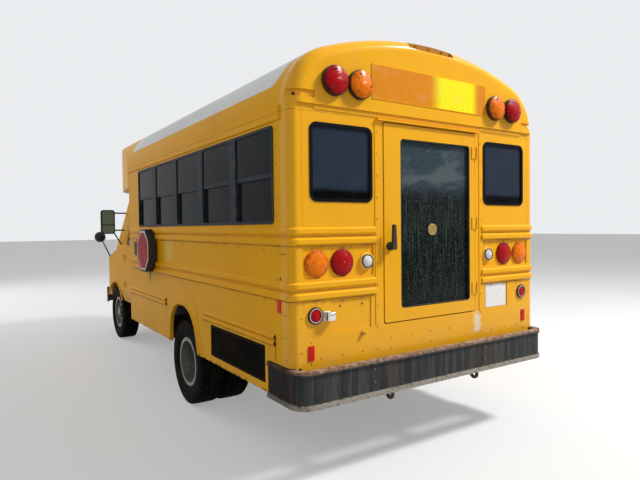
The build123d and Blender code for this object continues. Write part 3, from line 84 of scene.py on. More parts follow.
# %% Camera at the photograph's view
IMAGE_WIDTH = 640
FOCAL_PX = 531.5
CAMERA_PLACE = Vector((2.820, REAR_Y + 2.781, 1.630))
HEADING = 0.58417
PITCH = 0.02513
ROLL = -0.01082
SENSOR_MM = 36


def add_camera():
    """A camera that looks forward along the bus, turned to the right by HEADING."""
    flat = Vector((-math.sin(HEADING), -math.cos(HEADING), 0)) * math.cos(PITCH)
    ahead = flat - Vector((0, 0, math.sin(PITCH)))
    right = ahead.cross(Vector((0, 0, 1))).normalized()
    up = right.cross(ahead)
    turned_right = math.cos(ROLL) * right + math.sin(ROLL) * up
    turned_up = math.cos(ROLL) * up - math.sin(ROLL) * right
    data = bpy.data.cameras.new("camera")
    data.sensor_width = SENSOR_MM
    data.lens = SENSOR_MM * FOCAL_PX / IMAGE_WIDTH
    camera = bpy.data.objects.new("camera", data)
    bpy.context.collection.objects.link(camera)
    turn = Matrix((turned_right, turned_up, -ahead)).transposed()
    camera.matrix_world = Matrix.Translation(CAMERA_PLACE) @ turn.to_4x4()
    bpy.context.scene.camera = camera


add_camera()
print("camera at", [round(v, 3) for v in CAMERA_PLACE])

# %% [markdown]
# ## Shader sums in plain Python
# A material is easier to read as a sum than as a net of boxes. Term wraps one number socket and
# turns sums, products, powers and remainders into Math nodes. Paint makes any other node from
# its type, its settings and its sockets, and mixes colours with the Mix node.


# %% Term
class Term:
    """A number socket that can be used in sums."""

    def __init__(self, paint, socket):
        self.paint = paint
        self.socket = socket

    def math(self, operation, *values):
        sockets = dict(enumerate(values))
        node = self.paint.add("ShaderNodeMath", {"operation": operation}, sockets)
        return Term(self.paint, node.outputs[0])

    def __add__(self, other):
        return self.math("ADD", self, other)

    def __sub__(self, other):
        return self.math("SUBTRACT", self, other)

    def __rsub__(self, other):
        return self.math("SUBTRACT", other, self)

    def __mul__(self, other):
        return self.math("MULTIPLY", self, other)

    def __pow__(self, other):
        return self.math("POWER", self, other)

    def __abs__(self):
        return self.math("ABSOLUTE", self)

    def __mod__(self, other):
        return self.math("FLOORED_MODULO", self, other)

    def most(self, other):
        return self.math("MAXIMUM", self, other)

    def least(self, other):
        return self.math("MINIMUM", self, other)

    __radd__ = __add__
    __rmul__ = __mul__


print("Term ready")


# %% Paint
class Paint:
    """One material, its Object coordinates and its Principled shader."""

    def __init__(self, name):
        self.material = bpy.data.materials.new(name)
        self.material.use_nodes = True
        self.tree = self.material.node_tree
        self.shader = self.tree.nodes["Principled BSDF"]
        self.place = self.add("ShaderNodeTexCoord", {}, {}).outputs["Object"]
        parts = self.add("ShaderNodeSeparateXYZ", {}, {"Vector": self.place})
        self.x, self.y, self.z = (Term(self, socket) for socket in parts.outputs)

    def add(self, kind, settings, sockets):
        node = self.tree.nodes.new(kind)
        for key, value in settings.items():
            setattr(node, key, value)
        for key, value in sockets.items():
            self.feed(node.inputs[key], value)
        return node

    def feed(self, target, value):
        """Link a Term or a socket to the target, or write a plain value into it."""
        if isinstance(value, Term):
            value = value.socket
        if isinstance(value, bpy.types.NodeSocket):
            self.tree.links.new(value, target)
        else:
            target.default_value = value

    def set(self, **sockets):
        """Feed the Principled shader: underscores stand for the spaces in a socket's name."""
        for key, value in sockets.items():
            self.feed(self.shader.inputs[key.replace("_", " ")], value)

    def noise(self, scale, detail=3.0, stretch=(1, 1, 1), roughness=0.55):
        spot = self.add("ShaderNodeVectorMath", {"operation": "MULTIPLY"}, {0: self.place, 1: stretch})
        sockets = {"Vector": spot.outputs[0], "Scale": scale, "Detail": detail, "Roughness": roughness}
        return Term(self, self.add("ShaderNodeTexNoise", {}, sockets).outputs[0])

    def cells(self, scale, stretch=(1, 1, 1)):
        spot = self.add("ShaderNodeVectorMath", {"operation": "MULTIPLY"}, {0: self.place, 1: stretch})
        node = self.add("ShaderNodeTexVoronoi", {}, {"Vector": spot.outputs[0], "Scale": scale})
        return Term(self, node.outputs["Distance"])

    def ramp(self, value, low, high):
        """0 below low, 1 above high, eased between them."""
        sockets = {"Value": value, "From Min": low, "From Max": high, "To Min": 0.0, "To Max": 1.0}
        settings = {"interpolation_type": "SMOOTHSTEP", "clamp": True}
        return Term(self, self.add("ShaderNodeMapRange", settings, sockets).outputs[0])

    def between(self, value, low, high, soft=0.002):
        """1 from low to high, and 0 outside them, with soft edges."""
        rise = self.ramp(value, low - soft, low + soft)
        return rise * (1 - self.ramp(value, high - soft, high + soft))

    def mix(self, first, second, factor):
        node = self.add("ShaderNodeMix", {"data_type": "RGBA"}, {0: factor, 6: first, 7: second})
        return node.outputs[2]

    def bump(self, height, strength, distance=0.002):
        sockets = {"Height": height, "Strength": strength, "Distance": distance}
        return self.add("ShaderNodeBump", {}, sockets).outputs[0]


def rgb(red, green, blue):
    return (red, green, blue, 1.0)


def darker(colour, share):
    """A colour times share, which lightens it where share is above 1."""
    return rgb(*(channel * share for channel in colour[:3]))


print("Paint ready")


# %% [markdown]
# ## School-bus paint
# The body is one thick coat of yellow enamel that has stood outside. Dust lies on it more
# densely towards the ground, and rain has drawn it into faint upright streaks. Dark brown lines
# under and in the crease of every rub rail, and along the eave seam, are dirt and painted shade
# together. Chips show rust along the lowest edges. One function makes it, and a second colour
# can be laid over part of it, as the white roof is.

# %% Body paint
YELLOW = rgb(0.85, 0.405, 0.006)
DEEP_YELLOW = rgb(0.70, 0.29, 0.005)
PALE_YELLOW = rgb(0.86, 0.60, 0.20)
DUST = rgb(0.50, 0.34, 0.15)
DIRT_AND_SHADE = rgb(0.075, 0.035, 0.012)
RUST = rgb(0.16, 0.055, 0.02)
ROOF_WHITE = rgb(0.80, 0.81, 0.80)
RAIL_FEET_Z = (1.512, 1.170, 0.866)
RAIL_TOPS_Z = (1.626, 1.286, 0.940)
EAVE_SEAM_Z = 2.346
SKIRT_RAIL_START = REAR_Y - 1.460
SKIRT_RAIL_ENDS = (0.679, REAR_Y - 0.207)


def rail_dirt_and_shade(paint):
    """Dirt and painted shade under and in each rub rail's crease and in the eave seam, rust streaks
    below; skirt rails stop at the arch.
    """
    lines = 0.0
    runs = 0.0
    patchy = paint.ramp(paint.noise(7, 4), 0.30, 0.60)
    skirt = paint.between(paint.y, SKIRT_RAIL_START, SKIRT_RAIL_ENDS[1], 0.004)
    skirt = paint.between(paint.y, BODY_FRONT_Y, SKIRT_RAIL_ENDS[0], 0.004) + skirt
    for foot, top, reach in zip(RAIL_FEET_Z, RAIL_TOPS_Z, (1, 1, skirt)):
        crease = (foot + top) / 2
        # Under each rail's foot and in its crease the paint is darkened: painted shade, with brown
        # dirt in it.
        below = paint.between(paint.z, foot - 0.006, foot, 0.002)
        middle_line = paint.between(paint.z, crease - 0.003, crease + 0.003, 0.002)
        lines = (below + middle_line * 0.6) * reach + lines
        fading = 1 - paint.ramp(foot - paint.z, 0, 0.12)
        runs = paint.between(paint.z, foot - 0.13, foot, 0.01) * fading * reach + runs
    # A thin dark line along the eave seam: painted shade in the seam.
    lines = paint.between(paint.z, EAVE_SEAM_Z - 0.0015, EAVE_SEAM_Z + 0.0015, 0.001) + lines
    outside = paint.ramp(abs(paint.x), 0.500, 0.537)
    thin = paint.ramp(paint.noise(9, 4, (4, 4, 0.3)), 0.50, 0.68)
    return (lines * (0.25 + patchy * 0.6) * outside).least(0.85), runs * thin * outside


def dusty_paint(name, over=None, rails=True, shine=0.0):
    """Yellow enamel with dust, streaks and rust; over(paint) gives a second colour and its mask."""
    paint = Paint(name)
    broad = paint.noise(1.3, 4)
    colour = paint.mix(YELLOW, DEEP_YELLOW, paint.ramp(broad, 0.42, 0.78) * 0.30)
    if over:
        second, mask = over(paint)
        colour = paint.mix(colour, second, mask)
    low = 1 - paint.ramp(paint.z, 0.45, 1.25)
    streaks = paint.ramp(paint.noise(5, 3, (6, 6, 0.5)), 0.50, 0.75)
    specks = paint.ramp(paint.noise(90, 2), 0.57, 0.72)
    dust = low * 0.24 * paint.ramp(paint.noise(3.5, 5), 0.30, 0.70) + streaks * 0.06 + specks * 0.05
    colour = paint.mix(colour, DUST, dust.least(0.75))
    if rails:
        lines, runs = rail_dirt_and_shade(paint)
        colour = paint.mix(colour, darker(RUST, 1.6), runs * 0.30)
        # The dark lines at the rails and the eave seam: dirt and painted shade together.
        colour = paint.mix(colour, DIRT_AND_SHADE, lines)
    edge = (1 - paint.ramp(paint.z, 0.542, 0.562)) * paint.ramp(paint.noise(22, 5), 0.49, 0.58)
    chips = paint.ramp(paint.noise(38, 4), 0.745, 0.76) * (1 - paint.ramp(paint.z, 0.8, 1.6))
    rust = edge.most(chips)
    colour = paint.mix(colour, RUST, rust * 0.85)
    rough = 0.30 + dust * 0.5 + rust * 0.4
    skin = paint.noise(2.2, 2) + paint.noise(220, 2) * 0.006
    paint.set(Base_Color=colour, Roughness=rough, Normal=paint.bump(skin, 0.10, 0.02))
    paint.set(Specular_IOR_Level=0.03, Coat_Weight=shine, Coat_Roughness=0.12, Coat_IOR=1.4)
    return paint


print("body paint recipe ready")


# %% [markdown]
# ## Second colours and marks
# The roof is sprayed white inside a rounded yellow margin. The left side shows a paler patch
# where a notice was taken off behind the stop arm, and rust that has run down below the arm
# and from the open ends of the skirt rails; those open ends are painted dark, as painted shade
# in their hollows. The floor of the marker-lamp recess on the rear cap is painted darker, as
# painted shade. The rear panel has a rubbed white smear right of the door's foot. Each mark has
# soft edges and stands in the bus's own coordinates. Most are boxes, and the run below the arm
# narrows to a point at its foot.

# %% Roof margin and side marks
ROOF_PAINT_EDGE_Z = 2.53
ROOF_PAINT_Y = (BODY_FRONT_Y + 0.12, REAR_Y - 0.19)
STOP_ARM = middle("stop_arm")
DRIP_Y = STOP_ARM.y - 0.040
DRIP_FOOT_Z = 1.035
RECESS_HALF = 0.219
RECESS_Z = 2.872
SIDE_X = (0.9, 1.0)
PATCH_Y, PATCH_Z = (0.70, 0.92), (1.35, 1.56)
SMEAR_X, SMEAR_Z = (-0.47, -0.40), (0.85, 0.99)
SKIRT_RAIL_Z = (0.868, 0.938)


def white_roof(paint):
    corner = 0.10
    along = paint.between(paint.y, ROOF_PAINT_Y[0], ROOF_PAINT_Y[1], 0.004)
    above = paint.ramp(paint.z, ROOF_PAINT_EDGE_Z, ROOF_PAINT_EDGE_Z + 0.006)
    reach_y = (paint.y - (ROOF_PAINT_Y[1] - corner)).most(0)
    reach_z = ((ROOF_PAINT_EDGE_Z + corner) - paint.z).most(0)
    inside = 1 - paint.ramp(reach_y * reach_y + reach_z * reach_z, corner**2 * 0.94, corner**2)
    stain = paint.ramp(paint.noise(2.0, 5, (1, 0.35, 1)), 0.40, 0.75)
    white = paint.mix(ROOF_WHITE, rgb(0.55, 0.54, 0.50), stain * 0.5)
    return white, along * above * inside


def side_marks(paint):
    """The taken-off notice's pale patch on the left wall."""
    left = paint.ramp(paint.x, *SIDE_X)
    torn = paint.noise(14, 4) * 0.09
    patch = paint.between(paint.y + torn, *PATCH_Y, 0.012)
    patch = patch * paint.between(paint.z + torn, *PATCH_Z, 0.02)
    return PALE_YELLOW, patch * left * 0.50


def rear_marks(paint):
    """The rubbed smear on the rear panel, right of the door's foot."""
    torn = paint.noise(30, 4) * 0.10
    smear = paint.between(paint.x + torn, *SMEAR_X, 0.02)
    smear = smear * paint.between(paint.z + torn, *SMEAR_Z, 0.02)
    return rgb(0.74, 0.66, 0.52), smear * 0.85


def cap_recess_shade(paint):
    """Darker yellow-brown on the floor of the recess for the marker lamps at the top of the rear cap:
    painted shade.
    """
    recess = paint.between(paint.x, -RECESS_HALF, RECESS_HALF, 0.003)
    recess = recess * paint.ramp(paint.z, RECESS_Z - 0.003, RECESS_Z)
    recess = recess * paint.ramp(paint.y, REAR_Y - 0.036, REAR_Y - 0.031)
    return rgb(0.30, 0.125, 0.022), recess * 0.8


def rust_and_end_shade(paint):
    """Rust below the stop arm, and the skirt rails' open ends painted dark as painted shade of their
    hollows, with rust below them, laid over the left wall.
    """
    left = paint.ramp(paint.x, *SIDE_X)
    wander = paint.noise(16, 4, (1, 1, 0.3)) * 0.04
    spread = (paint.z - DRIP_FOOT_Z) * 0.28
    drip = 1 - paint.ramp(abs(paint.y + wander - DRIP_Y) - spread, -0.004, 0.008)
    drip = drip * paint.between(paint.z, DRIP_FOOT_Z, DRIP_FOOT_Z + 0.20, 0.015) * left
    ends = 0.0
    for y in SKIRT_RAIL_ENDS:
        # The open end of each skirt rail is painted dark: painted shade of its hollow.
        open_end_shade = paint.between(paint.y, y - 0.004, y + 0.007, 0.002)
        open_end_shade = open_end_shade * paint.between(paint.z, *SKIRT_RAIL_Z, 0.004)
        tail = paint.between(paint.y + wander, y + 0.012, y + 0.026, 0.006)
        tail = tail * paint.between(paint.z, 0.78, 0.90, 0.03) * 0.6
        ends = open_end_shade + tail + ends
    return (drip * 0.8 + ends).least(0.95)


def wall_paint(name, marks):
    """Body paint of a side wall, with its rust and the painted shade at the rails' open ends laid on
    last.
    """
    paint = dusty_paint(name, marks)
    base = paint.shader.inputs["Base Color"].links[0].from_socket
    # Rust, and painted shade at the skirt rails' open ends, laid over the base.
    paint.set(Base_Color=paint.mix(base, darker(RUST, 0.45), rust_and_end_shade(paint)))
    return paint.material


yellow_paint = dusty_paint("bus_yellow_paint", rails=False).material
# The cap's marker-lamp recess is painted darker: painted shade.
cap_paint = dusty_paint("cap_yellow_paint", cap_recess_shade, rails=False, shine=0.5).material
door_paint = dusty_paint("rear_door_paint", rails=False, shine=0.5).material
roof_paint = dusty_paint("roof_paint", white_roof, rails=False).material
left_paint = wall_paint("left_wall_paint", side_marks)
right_paint = dusty_paint("right_wall_paint").material
rear_paint = dusty_paint("rear_wall_paint", rear_marks, shine=0.5).material
print("body paints made")

# %% [markdown]
# ## Plain finishes
# Black trim, chassis paint, rubber and worn metal each get a short recipe. What varies over a
# surface, such as grime and rust, goes to the colour, the roughness and the bump.


# %% Recipes for trim and metal
def worn_black(name, colour, rough, rust=0.0, dust=0.25, shine=0.2):
    paint = Paint(name)
    cloud = paint.ramp(paint.noise(6, 5), 0.35, 0.75)
    shade = paint.mix(colour, DUST, cloud * dust)
    if rust:
        spots = paint.ramp(paint.noise(9, 6, (1, 1, 1.4), 0.65), 0.54 - 0.12 * rust, 0.66)
        shade = paint.mix(shade, rgb(0.115, 0.058, 0.032), spots * rust)
    grain = paint.bump(paint.noise(160, 3), 0.25, 0.0008)
    paint.set(Base_Color=shade, Roughness=rough + cloud * 0.2, Normal=grain, Specular_IOR_Level=shine)
    return paint.material


def rough_metal(name, colour, rough, metallic, rust):
    paint = Paint(name)
    spots = paint.ramp(paint.noise(14, 6), 0.5, 0.68)
    shade = paint.mix(colour, RUST, spots * rust)
    paint.set(Base_Color=shade, Roughness=rough + spots * 0.25)
    paint.set(Metallic=metallic - spots * metallic * 0.8)
    paint.set(Normal=paint.bump(paint.noise(60, 4), 0.3, 0.001))
    return paint.material


print("recipes for trim and metal ready")

# %% Trim, metal and rubber
black_trim = worn_black("black_trim", rgb(0.020, 0.020, 0.021), 0.42, dust=0.08)
louvre_black = worn_black("louvre_black", rgb(0.004, 0.0035, 0.003), 0.6, dust=0.03, shine=0.03)
black_rubber = worn_black("black_rubber", rgb(0.014, 0.014, 0.014), 0.62, dust=0.12)
chassis_paint = worn_black("chassis_paint", rgb(0.03, 0.028, 0.026), 0.6, rust=0.45, dust=0.4)
tread_rubber = worn_black("tyre_rubber", rgb(0.006, 0.0055, 0.005), 0.9, dust=0.04, shine=0.0)
dash_plastic = worn_black("dash_plastic", rgb(0.05, 0.05, 0.05), 0.55)
floor_cover = worn_black("floor_cover", rgb(0.03, 0.03, 0.03), 0.7, dust=0.4)
pale_edge = worn_black("pale_edge_paint", rgb(0.72, 0.68, 0.66), 0.4, dust=0.2)
front_steel = worn_black("front_bumper_paint", rgb(0.020, 0.022, 0.024), 0.45, rust=0.25, dust=0.15)
seat_vinyl = worn_black("seat_vinyl", rgb(0.035, 0.05, 0.085), 0.45, dust=0.1)
axle_iron = rough_metal("axle_iron", rgb(0.09, 0.085, 0.08), 0.6, 0.4, 0.7)
exhaust_steel = rough_metal("exhaust_steel", rgb(0.28, 0.25, 0.22), 0.45, 0.8, 0.6)
rim_paint = rough_metal("rim_paint", rgb(0.26, 0.26, 0.235), 0.34, 0.65, 0.40)
bright_metal = rough_metal("bright_metal", rgb(0.70, 0.69, 0.66), 0.18, 1.0, 0.10)
screw_metal = rough_metal("screw_metal", rgb(0.16, 0.10, 0.05), 0.5, 0.5, 0.8)
# Mirror glass in a flat grey-green: a painted reflection.
mirror_painted_reflection = worn_black("mirror_painted_reflection", rgb(0.17, 0.28, 0.24), 0.15, dust=0.05, shine=0.3)
print("trim, metal and rubber made")


# %% Window frames
def frame_black():
    """Black with a painted blue-grey sheen on the side windows' frames, plain black rubber round the
    rear windows.
    """
    paint = Paint("window_frame_black")
    dusty = paint.ramp(paint.noise(9, 4), 0.45, 0.75)
    # The blue tint of the side frames is a painted sheen.
    side = paint.mix(rgb(0.026, 0.031, 0.036), rgb(0.075, 0.078, 0.080), dusty * 0.5)
    rubber = paint.ramp(paint.y, REAR_Y - 0.06, REAR_Y - 0.05)
    shade = paint.mix(side, rgb(0.004, 0.004, 0.005), rubber)
    paint.set(Base_Color=shade, Roughness=0.42 + rubber * 0.15, Specular_IOR_Level=0.05)
    paint.set(Normal=paint.bump(paint.noise(120, 2), 0.15, 0.0006))
    return paint.material


window_black = frame_black()
print("window frames' black made")

# %% [markdown]
# ## Glass and lenses
# The side windows are dark safety glass, and the tall rear door pane is darker still, with dried
# rain in upright streaks and drops, and a painted sky reflection that turns it slate blue near its
# top; the rear windows carry a painted slate blue reflection too. A lamp lens is moulded in rings
# round its middle, so its pattern is the distance from the nearest of the lamp centres that share
# the node.


# %% Glass
def tinted_glass(name, tint, dirt, clear, bend=1.22):
    """Tinted pane; the rear windows carry a painted slate blue sky reflection that ends above a black
    foot.
    """
    paint = Paint(name)
    film = paint.ramp(paint.noise(4, 5), 0.45, 0.8) * dirt
    drops = paint.ramp(paint.noise(75, 2), 0.62, 0.72) * dirt
    rear = paint.ramp(paint.y, REAR_Y - 0.10, REAR_Y - 0.09)
    foot = 1 - paint.ramp(paint.z + paint.noise(6, 3) * 0.03, 1.86, 1.90)
    # Over the rear windows, slate blue above a near-black foot: a painted sky reflection.
    slate = paint.mix(rgb(0.075, 0.105, 0.165), rgb(0.002, 0.002, 0.003), foot)
    slate = paint.mix(slate, rgb(0.9, 0.95, 1.0), paint.ramp(paint.noise(120, 2), 0.66, 0.72) * 0.35)
    tint = paint.mix(tint, slate, rear)
    colour = paint.mix(tint, rgb(0.20, 0.20, 0.19), (film * 0.20 + drops * 0.5).least(0.9))
    paint.set(Base_Color=colour, Roughness=0.03 + film * 0.12 + drops * 0.3)
    paint.set(Transmission_Weight=clear, IOR=bend, Specular_IOR_Level=0.1)
    return paint.material


def door_pane(name):
    """Near-black glass: a painted slate blue sky reflection above, upright dried streaks and drops
    below.
    """
    paint = Paint(name)
    top = paint.ramp(paint.z + paint.noise(5, 4) * 0.12, 1.84, 1.98)
    below = rgb(0.003, 0.007, 0.005)
    cloud = paint.ramp(paint.noise(2.6, 4, (1, 1, 3.2)), 0.50, 0.64)
    sky = paint.mix(rgb(0.040, 0.066, 0.082), rgb(0.115, 0.140, 0.150), cloud * 0.8)
    # The slate blue upper part is a painted sky reflection.
    colour = paint.mix(below, sky, top)
    band = paint.between(paint.z, 1.60, 1.86, 0.10)
    colour = paint.mix(colour, rgb(0.008, 0.010, 0.011), band)
    runs = paint.ramp(paint.noise(70, 4, (1, 1, 0.05), 0.7), 0.48, 0.68)
    runs = runs * (1 - paint.ramp(paint.z, 1.75, 1.95)) * paint.ramp(paint.z, 1.02, 1.12)
    drops = paint.ramp(paint.noise(150, 2, (1, 1, 0.6)), 0.60, 0.70)
    colour = paint.mix(colour, rgb(0.070, 0.105, 0.080), runs * 0.55)
    colour = paint.mix(colour, rgb(0.22, 0.26, 0.24), drops * 0.55)
    paint.set(Base_Color=colour, Roughness=0.05 + runs * 0.2 + drops * 0.3)
    paint.set(Transmission_Weight=0.25, IOR=1.25, Specular_IOR_Level=0.15)
    return paint.material


side_glass = tinted_glass("side_glass", rgb(0.040, 0.050, 0.056), 0.4, 0.72, bend=1.12)
door_glass = door_pane("rear_door_tint")
clear_glass = tinted_glass("cab_glass", rgb(0.50, 0.56, 0.54), 0.4, 0.95)
print("glass made")

# %% Lens centres
WARNING_Z = 2.548
WARNING_RED_X, WARNING_AMBER_X = 0.874, 0.673
PANEL_LAMP_Z = 1.397
TURN_X, TAIL_X = 1.009, 0.811
REVERSING_X, REVERSING_Z = 0.610, 1.398
STOP_LAMP_X, STOP_LAMP_Z = 1.025, 1.073
FRONT_WARNING_Z = 2.440
FRONT_RED_X, FRONT_AMBER_X = 0.690, 0.490
HEADLAMP = (0.706, 0.915)
LENS_CENTRES = {
    "red": (
        (WARNING_RED_X, WARNING_Z), (TAIL_X, PANEL_LAMP_Z),
        (STOP_LAMP_X, STOP_LAMP_Z), (FRONT_RED_X, FRONT_WARNING_Z),
    ),
    "amber": (
        (WARNING_AMBER_X, WARNING_Z), (TURN_X, PANEL_LAMP_Z), (FRONT_AMBER_X, FRONT_WARNING_Z),
    ),
    "clear": ((REVERSING_X, REVERSING_Z), HEADLAMP),
}
print("lens centres:", {kind: len(places) for kind, places in LENS_CENTRES.items()})


# %% Lenses
FAR_OFF = 9.0
REVERSING_LENS_R = 0.043


def lens(name, kind, colour, glow):
    """Moulded lens plastic with rings, prisms, dirt, painted shade towards the rim and a faint painted
    glow; a reversing lamp's foot is yellow.
    """
    paint = Paint(name)
    off = FAR_OFF
    for x, z in LENS_CENTRES[kind]:
        across = abs(paint.x) - x
        up = paint.z - z
        off = ((across * across + up * up) ** 0.5).least(off)
    rings = paint.ramp(abs((off * 95) % 1 - 0.5), 0.05, 0.45)
    prisms = (paint.x * 150) % 1 * 0.5 + (paint.z * 150) % 1 * 0.5
    pattern = rings * 0.6 + paint.ramp(prisms, 0.2, 0.8) * 0.4
    shade = paint.mix(colour, darker(colour, 0.45), pattern * 0.55)
    # Each lens is painted darker towards its rim: painted shade on the dome's edge, mottled with dirt.
    rim = paint.ramp(off, 0.050, 0.092)
    mottle = paint.ramp(paint.noise(28, 5, roughness=0.7), 0.46, 0.66)
    dirt_and_rim_shade = (mottle * (0.30 + rim * 0.60) + rim * 0.35).least(0.9)
    shade = paint.mix(shade, darker(colour, 0.22), dirt_and_rim_shade)
    shade = paint.mix(shade, darker(colour, 0.08), paint.ramp(paint.noise(70, 3), 0.62, 0.70) * 0.8)
    if kind == "clear":
        foot = paint.ramp(off, REVERSING_LENS_R - 0.0005, REVERSING_LENS_R + 0.0005)
        foot = foot * paint.ramp(paint.z, 1.2, 1.3)
        shade = paint.mix(shade, YELLOW, foot)
    paint.set(Base_Color=shade, Roughness=0.20, Normal=paint.bump(pattern, 0.30, 0.002))
    paint.set(Specular_IOR_Level=0.12)
    # The faint emission is painted light in the lens colour.
    paint.set(Emission_Color=darker(colour, glow), Emission_Strength=1.0)
    return paint.material


red_plastic = lens("red_lens", "red", rgb(0.46, 0.002, 0.004), 0.05)
amber_plastic = lens("amber_lens", "amber", rgb(0.92, 0.20, 0.002), 0.07)
clear_plastic = lens("clear_lens", "clear", rgb(0.74, 0.76, 0.76), 0.04)
print("lenses made")

# %% [markdown]
# ## Bumper steel
# The rear bumper is a folded steel channel. Its top lip has lost its paint and gone rust brown,
# the face is a blue-grey black with upright water streaks, the bottom lip is scraped to pale
# metal, and the wrapped sides are a dull brown black: painted shade, with rust brown in it.


# %% Bumper paint
def bumper_steel():
    paint = Paint("bumper_paint")
    streak = paint.ramp(paint.noise(24, 5, (1, 1, 0.06), 0.65), 0.38, 0.68)
    face = paint.mix(rgb(0.026, 0.028, 0.028), rgb(0.090, 0.092, 0.088), streak * 0.60)
    brown = paint.ramp(paint.noise(7, 4, (1, 1, 0.25)), 0.52, 0.66)
    face = paint.mix(face, rgb(0.085, 0.062, 0.040), brown * 0.45)
    # The wrapped sides are painted near black: painted shade, with some rust brown.
    side = paint.ramp(abs(paint.x), 1.14, 1.19)
    side = side * (1 - paint.ramp(paint.y, bumper_high.y - 0.16, bumper_high.y - 0.03))
    side_shade_brown = paint.mix(rgb(0.007, 0.005, 0.004), rgb(0.06, 0.020, 0.008), brown * 0.6)
    face = paint.mix(face, side_shade_brown, side)
    rubbed = paint.noise(34, 5)
    top = paint.ramp(paint.z, bumper_high.z - 0.022, bumper_high.z - 0.010)
    lip = paint.mix(rgb(0.22, 0.115, 0.065), rgb(0.38, 0.27, 0.20), paint.ramp(rubbed, 0.40, 0.62))
    face = paint.mix(face, lip, top * (0.55 + rubbed * 0.6).least(1.0) * (1 - side * 0.75))
    foot = 1 - paint.ramp(paint.z, bumper_low.z + 0.026, bumper_low.z + 0.038)
    scraped = paint.mix(rgb(0.15, 0.13, 0.105), rgb(0.36, 0.32, 0.27), paint.ramp(rubbed, 0.30, 0.55))
    face = paint.mix(face, scraped, foot * 0.9 * (1 - side * 0.5))
    end = 1 - paint.ramp(paint.x, -HALF - 0.010, -HALF + 0.004)
    end = end * paint.ramp(rubbed, 0.40, 0.55) * (1 - side) * 0.8
    face = paint.mix(face, rgb(0.40, 0.38, 0.34), end)
    paint.set(Base_Color=face, Roughness=0.42 + streak * 0.15 + top * 0.25)
    paint.set(Normal=paint.bump(rubbed + streak * 0.4, 0.25, 0.0015))
    paint.set(Specular_IOR_Level=0.08)
    return paint.material


bumper_paint = bumper_steel()
print("bumper paint made")


# %% Dress the CAD nodes
def dress(material, *nodes):
    """Give CAD nodes a finished material in place of the plain one they came with."""
    for node in nodes:
        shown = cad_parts[node]
        shown.data.materials.clear()
        shown.data.materials.append(material)


dress(roof_paint, "roof")
dress(left_paint, "left_wall")
dress(right_paint, "right_wall")
dress(rear_paint, "rear_wall")
dress(cap_paint, "rear_cap")
dress(door_paint, "rear_door")
dress(yellow_paint, "front_cap", "cab_shell", "hood", "driver_door")
dress(window_black, "window_frames")
dress(louvre_black, "grilles")
dress(black_trim, "lamp_housings", "mirrors", "rear_handle")
dress(black_trim, "entrance_front_leaf", "entrance_rear_leaf")
dress(side_glass, "window_glass", "entrance_front_glass", "entrance_rear_glass")
dress(clear_glass, "driver_door_glass")
dress(door_glass, "rear_door_glass")
dress(bumper_paint, "rear_bumper")
dress(front_steel, "front_bumper")
dress(chassis_paint, "frame_rails", "crossmembers", "leaf_springs", "fuel_tank", "seat_frames")
dress(axle_iron, "front_axle", "rear_axle", "engine", "left_knuckle", "right_knuckle")
dress(exhaust_steel, "exhaust")
dress(rim_paint, "front_left_rim", "front_right_rim", "rear_left_rims", "rear_right_rims")
dress(red_plastic, "red_lamps")
dress(amber_plastic, "amber_lamps")
dress(clear_plastic, "clear_lamps")
dress(seat_vinyl, "seats")
dress(dash_plastic, "dashboard")
dress(floor_cover, "floor")
dress(black_trim, "stop_arm")
dress(tread_rubber, "front_left_tyre", "front_right_tyre", "rear_left_tyres", "rear_right_tyres")
print("CAD nodes dressed:", len(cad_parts))

# %% [markdown]
# ## A modeller's few moves
# Every new piece is made as it would be by hand: add a primitive at its place, go into edit
# mode, pick faces or edges by where they are, and inset, extrude or bevel them. These helpers
# are those moves by name, so that each piece below reads as a list of them.


# %% Selecting and finishing
def deselect():
    if bpy.context.object and bpy.context.object.mode == "EDIT":
        bpy.ops.object.mode_set(mode="OBJECT")
    bpy.ops.object.select_all(action="DESELECT")


def take(*pieces):
    """Select just these pieces, the first one active."""
    deselect()
    for piece in pieces:
        piece.select_set(True)
    bpy.context.view_layer.objects.active = pieces[0]


def named(name):
    """Give the piece just added its name, with its size in its mesh."""
    piece = bpy.context.object
    piece.name = name
    piece.data.name = name
    take(piece)
    bpy.ops.object.transform_apply(location=True, rotation=True, scale=True)
    return piece


def pick_faces(piece, test):
    """Select the faces whose middle and normal pass the test, and stay in edit mode."""
    take(piece)
    bpy.ops.object.mode_set(mode="EDIT")
    bpy.ops.mesh.select_mode(type="FACE")
    shape = bmesh.from_edit_mesh(piece.data)
    for face in shape.faces:
        face.select_set(bool(test(face.calc_center_median(), face.normal)))
    bmesh.update_edit_mesh(piece.data)


def pick_edges(piece, test):
    """Select the edges whose two ends pass the test, and stay in edit mode."""
    take(piece)
    bpy.ops.object.mode_set(mode="EDIT")
    bpy.ops.mesh.select_mode(type="EDGE")
    shape = bmesh.from_edit_mesh(piece.data)
    for edge in shape.edges:
        edge.select_set(bool(test(edge.verts[0].co, edge.verts[1].co)))
    bmesh.update_edit_mesh(piece.data)


def bevel_all(piece, width, segments=2):
    take(piece)
    bpy.ops.object.mode_set(mode="EDIT")
    bpy.ops.mesh.select_all(action="SELECT")
    bpy.ops.mesh.bevel(offset=width, segments=segments, affect="EDGES")
    bpy.ops.object.mode_set(mode="OBJECT")


def done(piece, body, *materials, smooth=35):
    """Smooth the gentle edges, paint the piece and let it ride on its body."""
    take(piece)
    bpy.ops.object.transform_apply(location=True, rotation=True, scale=True)
    bpy.ops.object.shade_smooth_by_angle(angle=math.radians(smooth))
    if not piece.data.materials:
        for material in materials:
            piece.data.materials.append(material)
    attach(piece, body)
    return piece


print("selecting and finishing ready")

# %% Plates and rings
X_AXIS = Vector((1, 0, 0))
Y_AXIS = Vector((0, 1, 0))


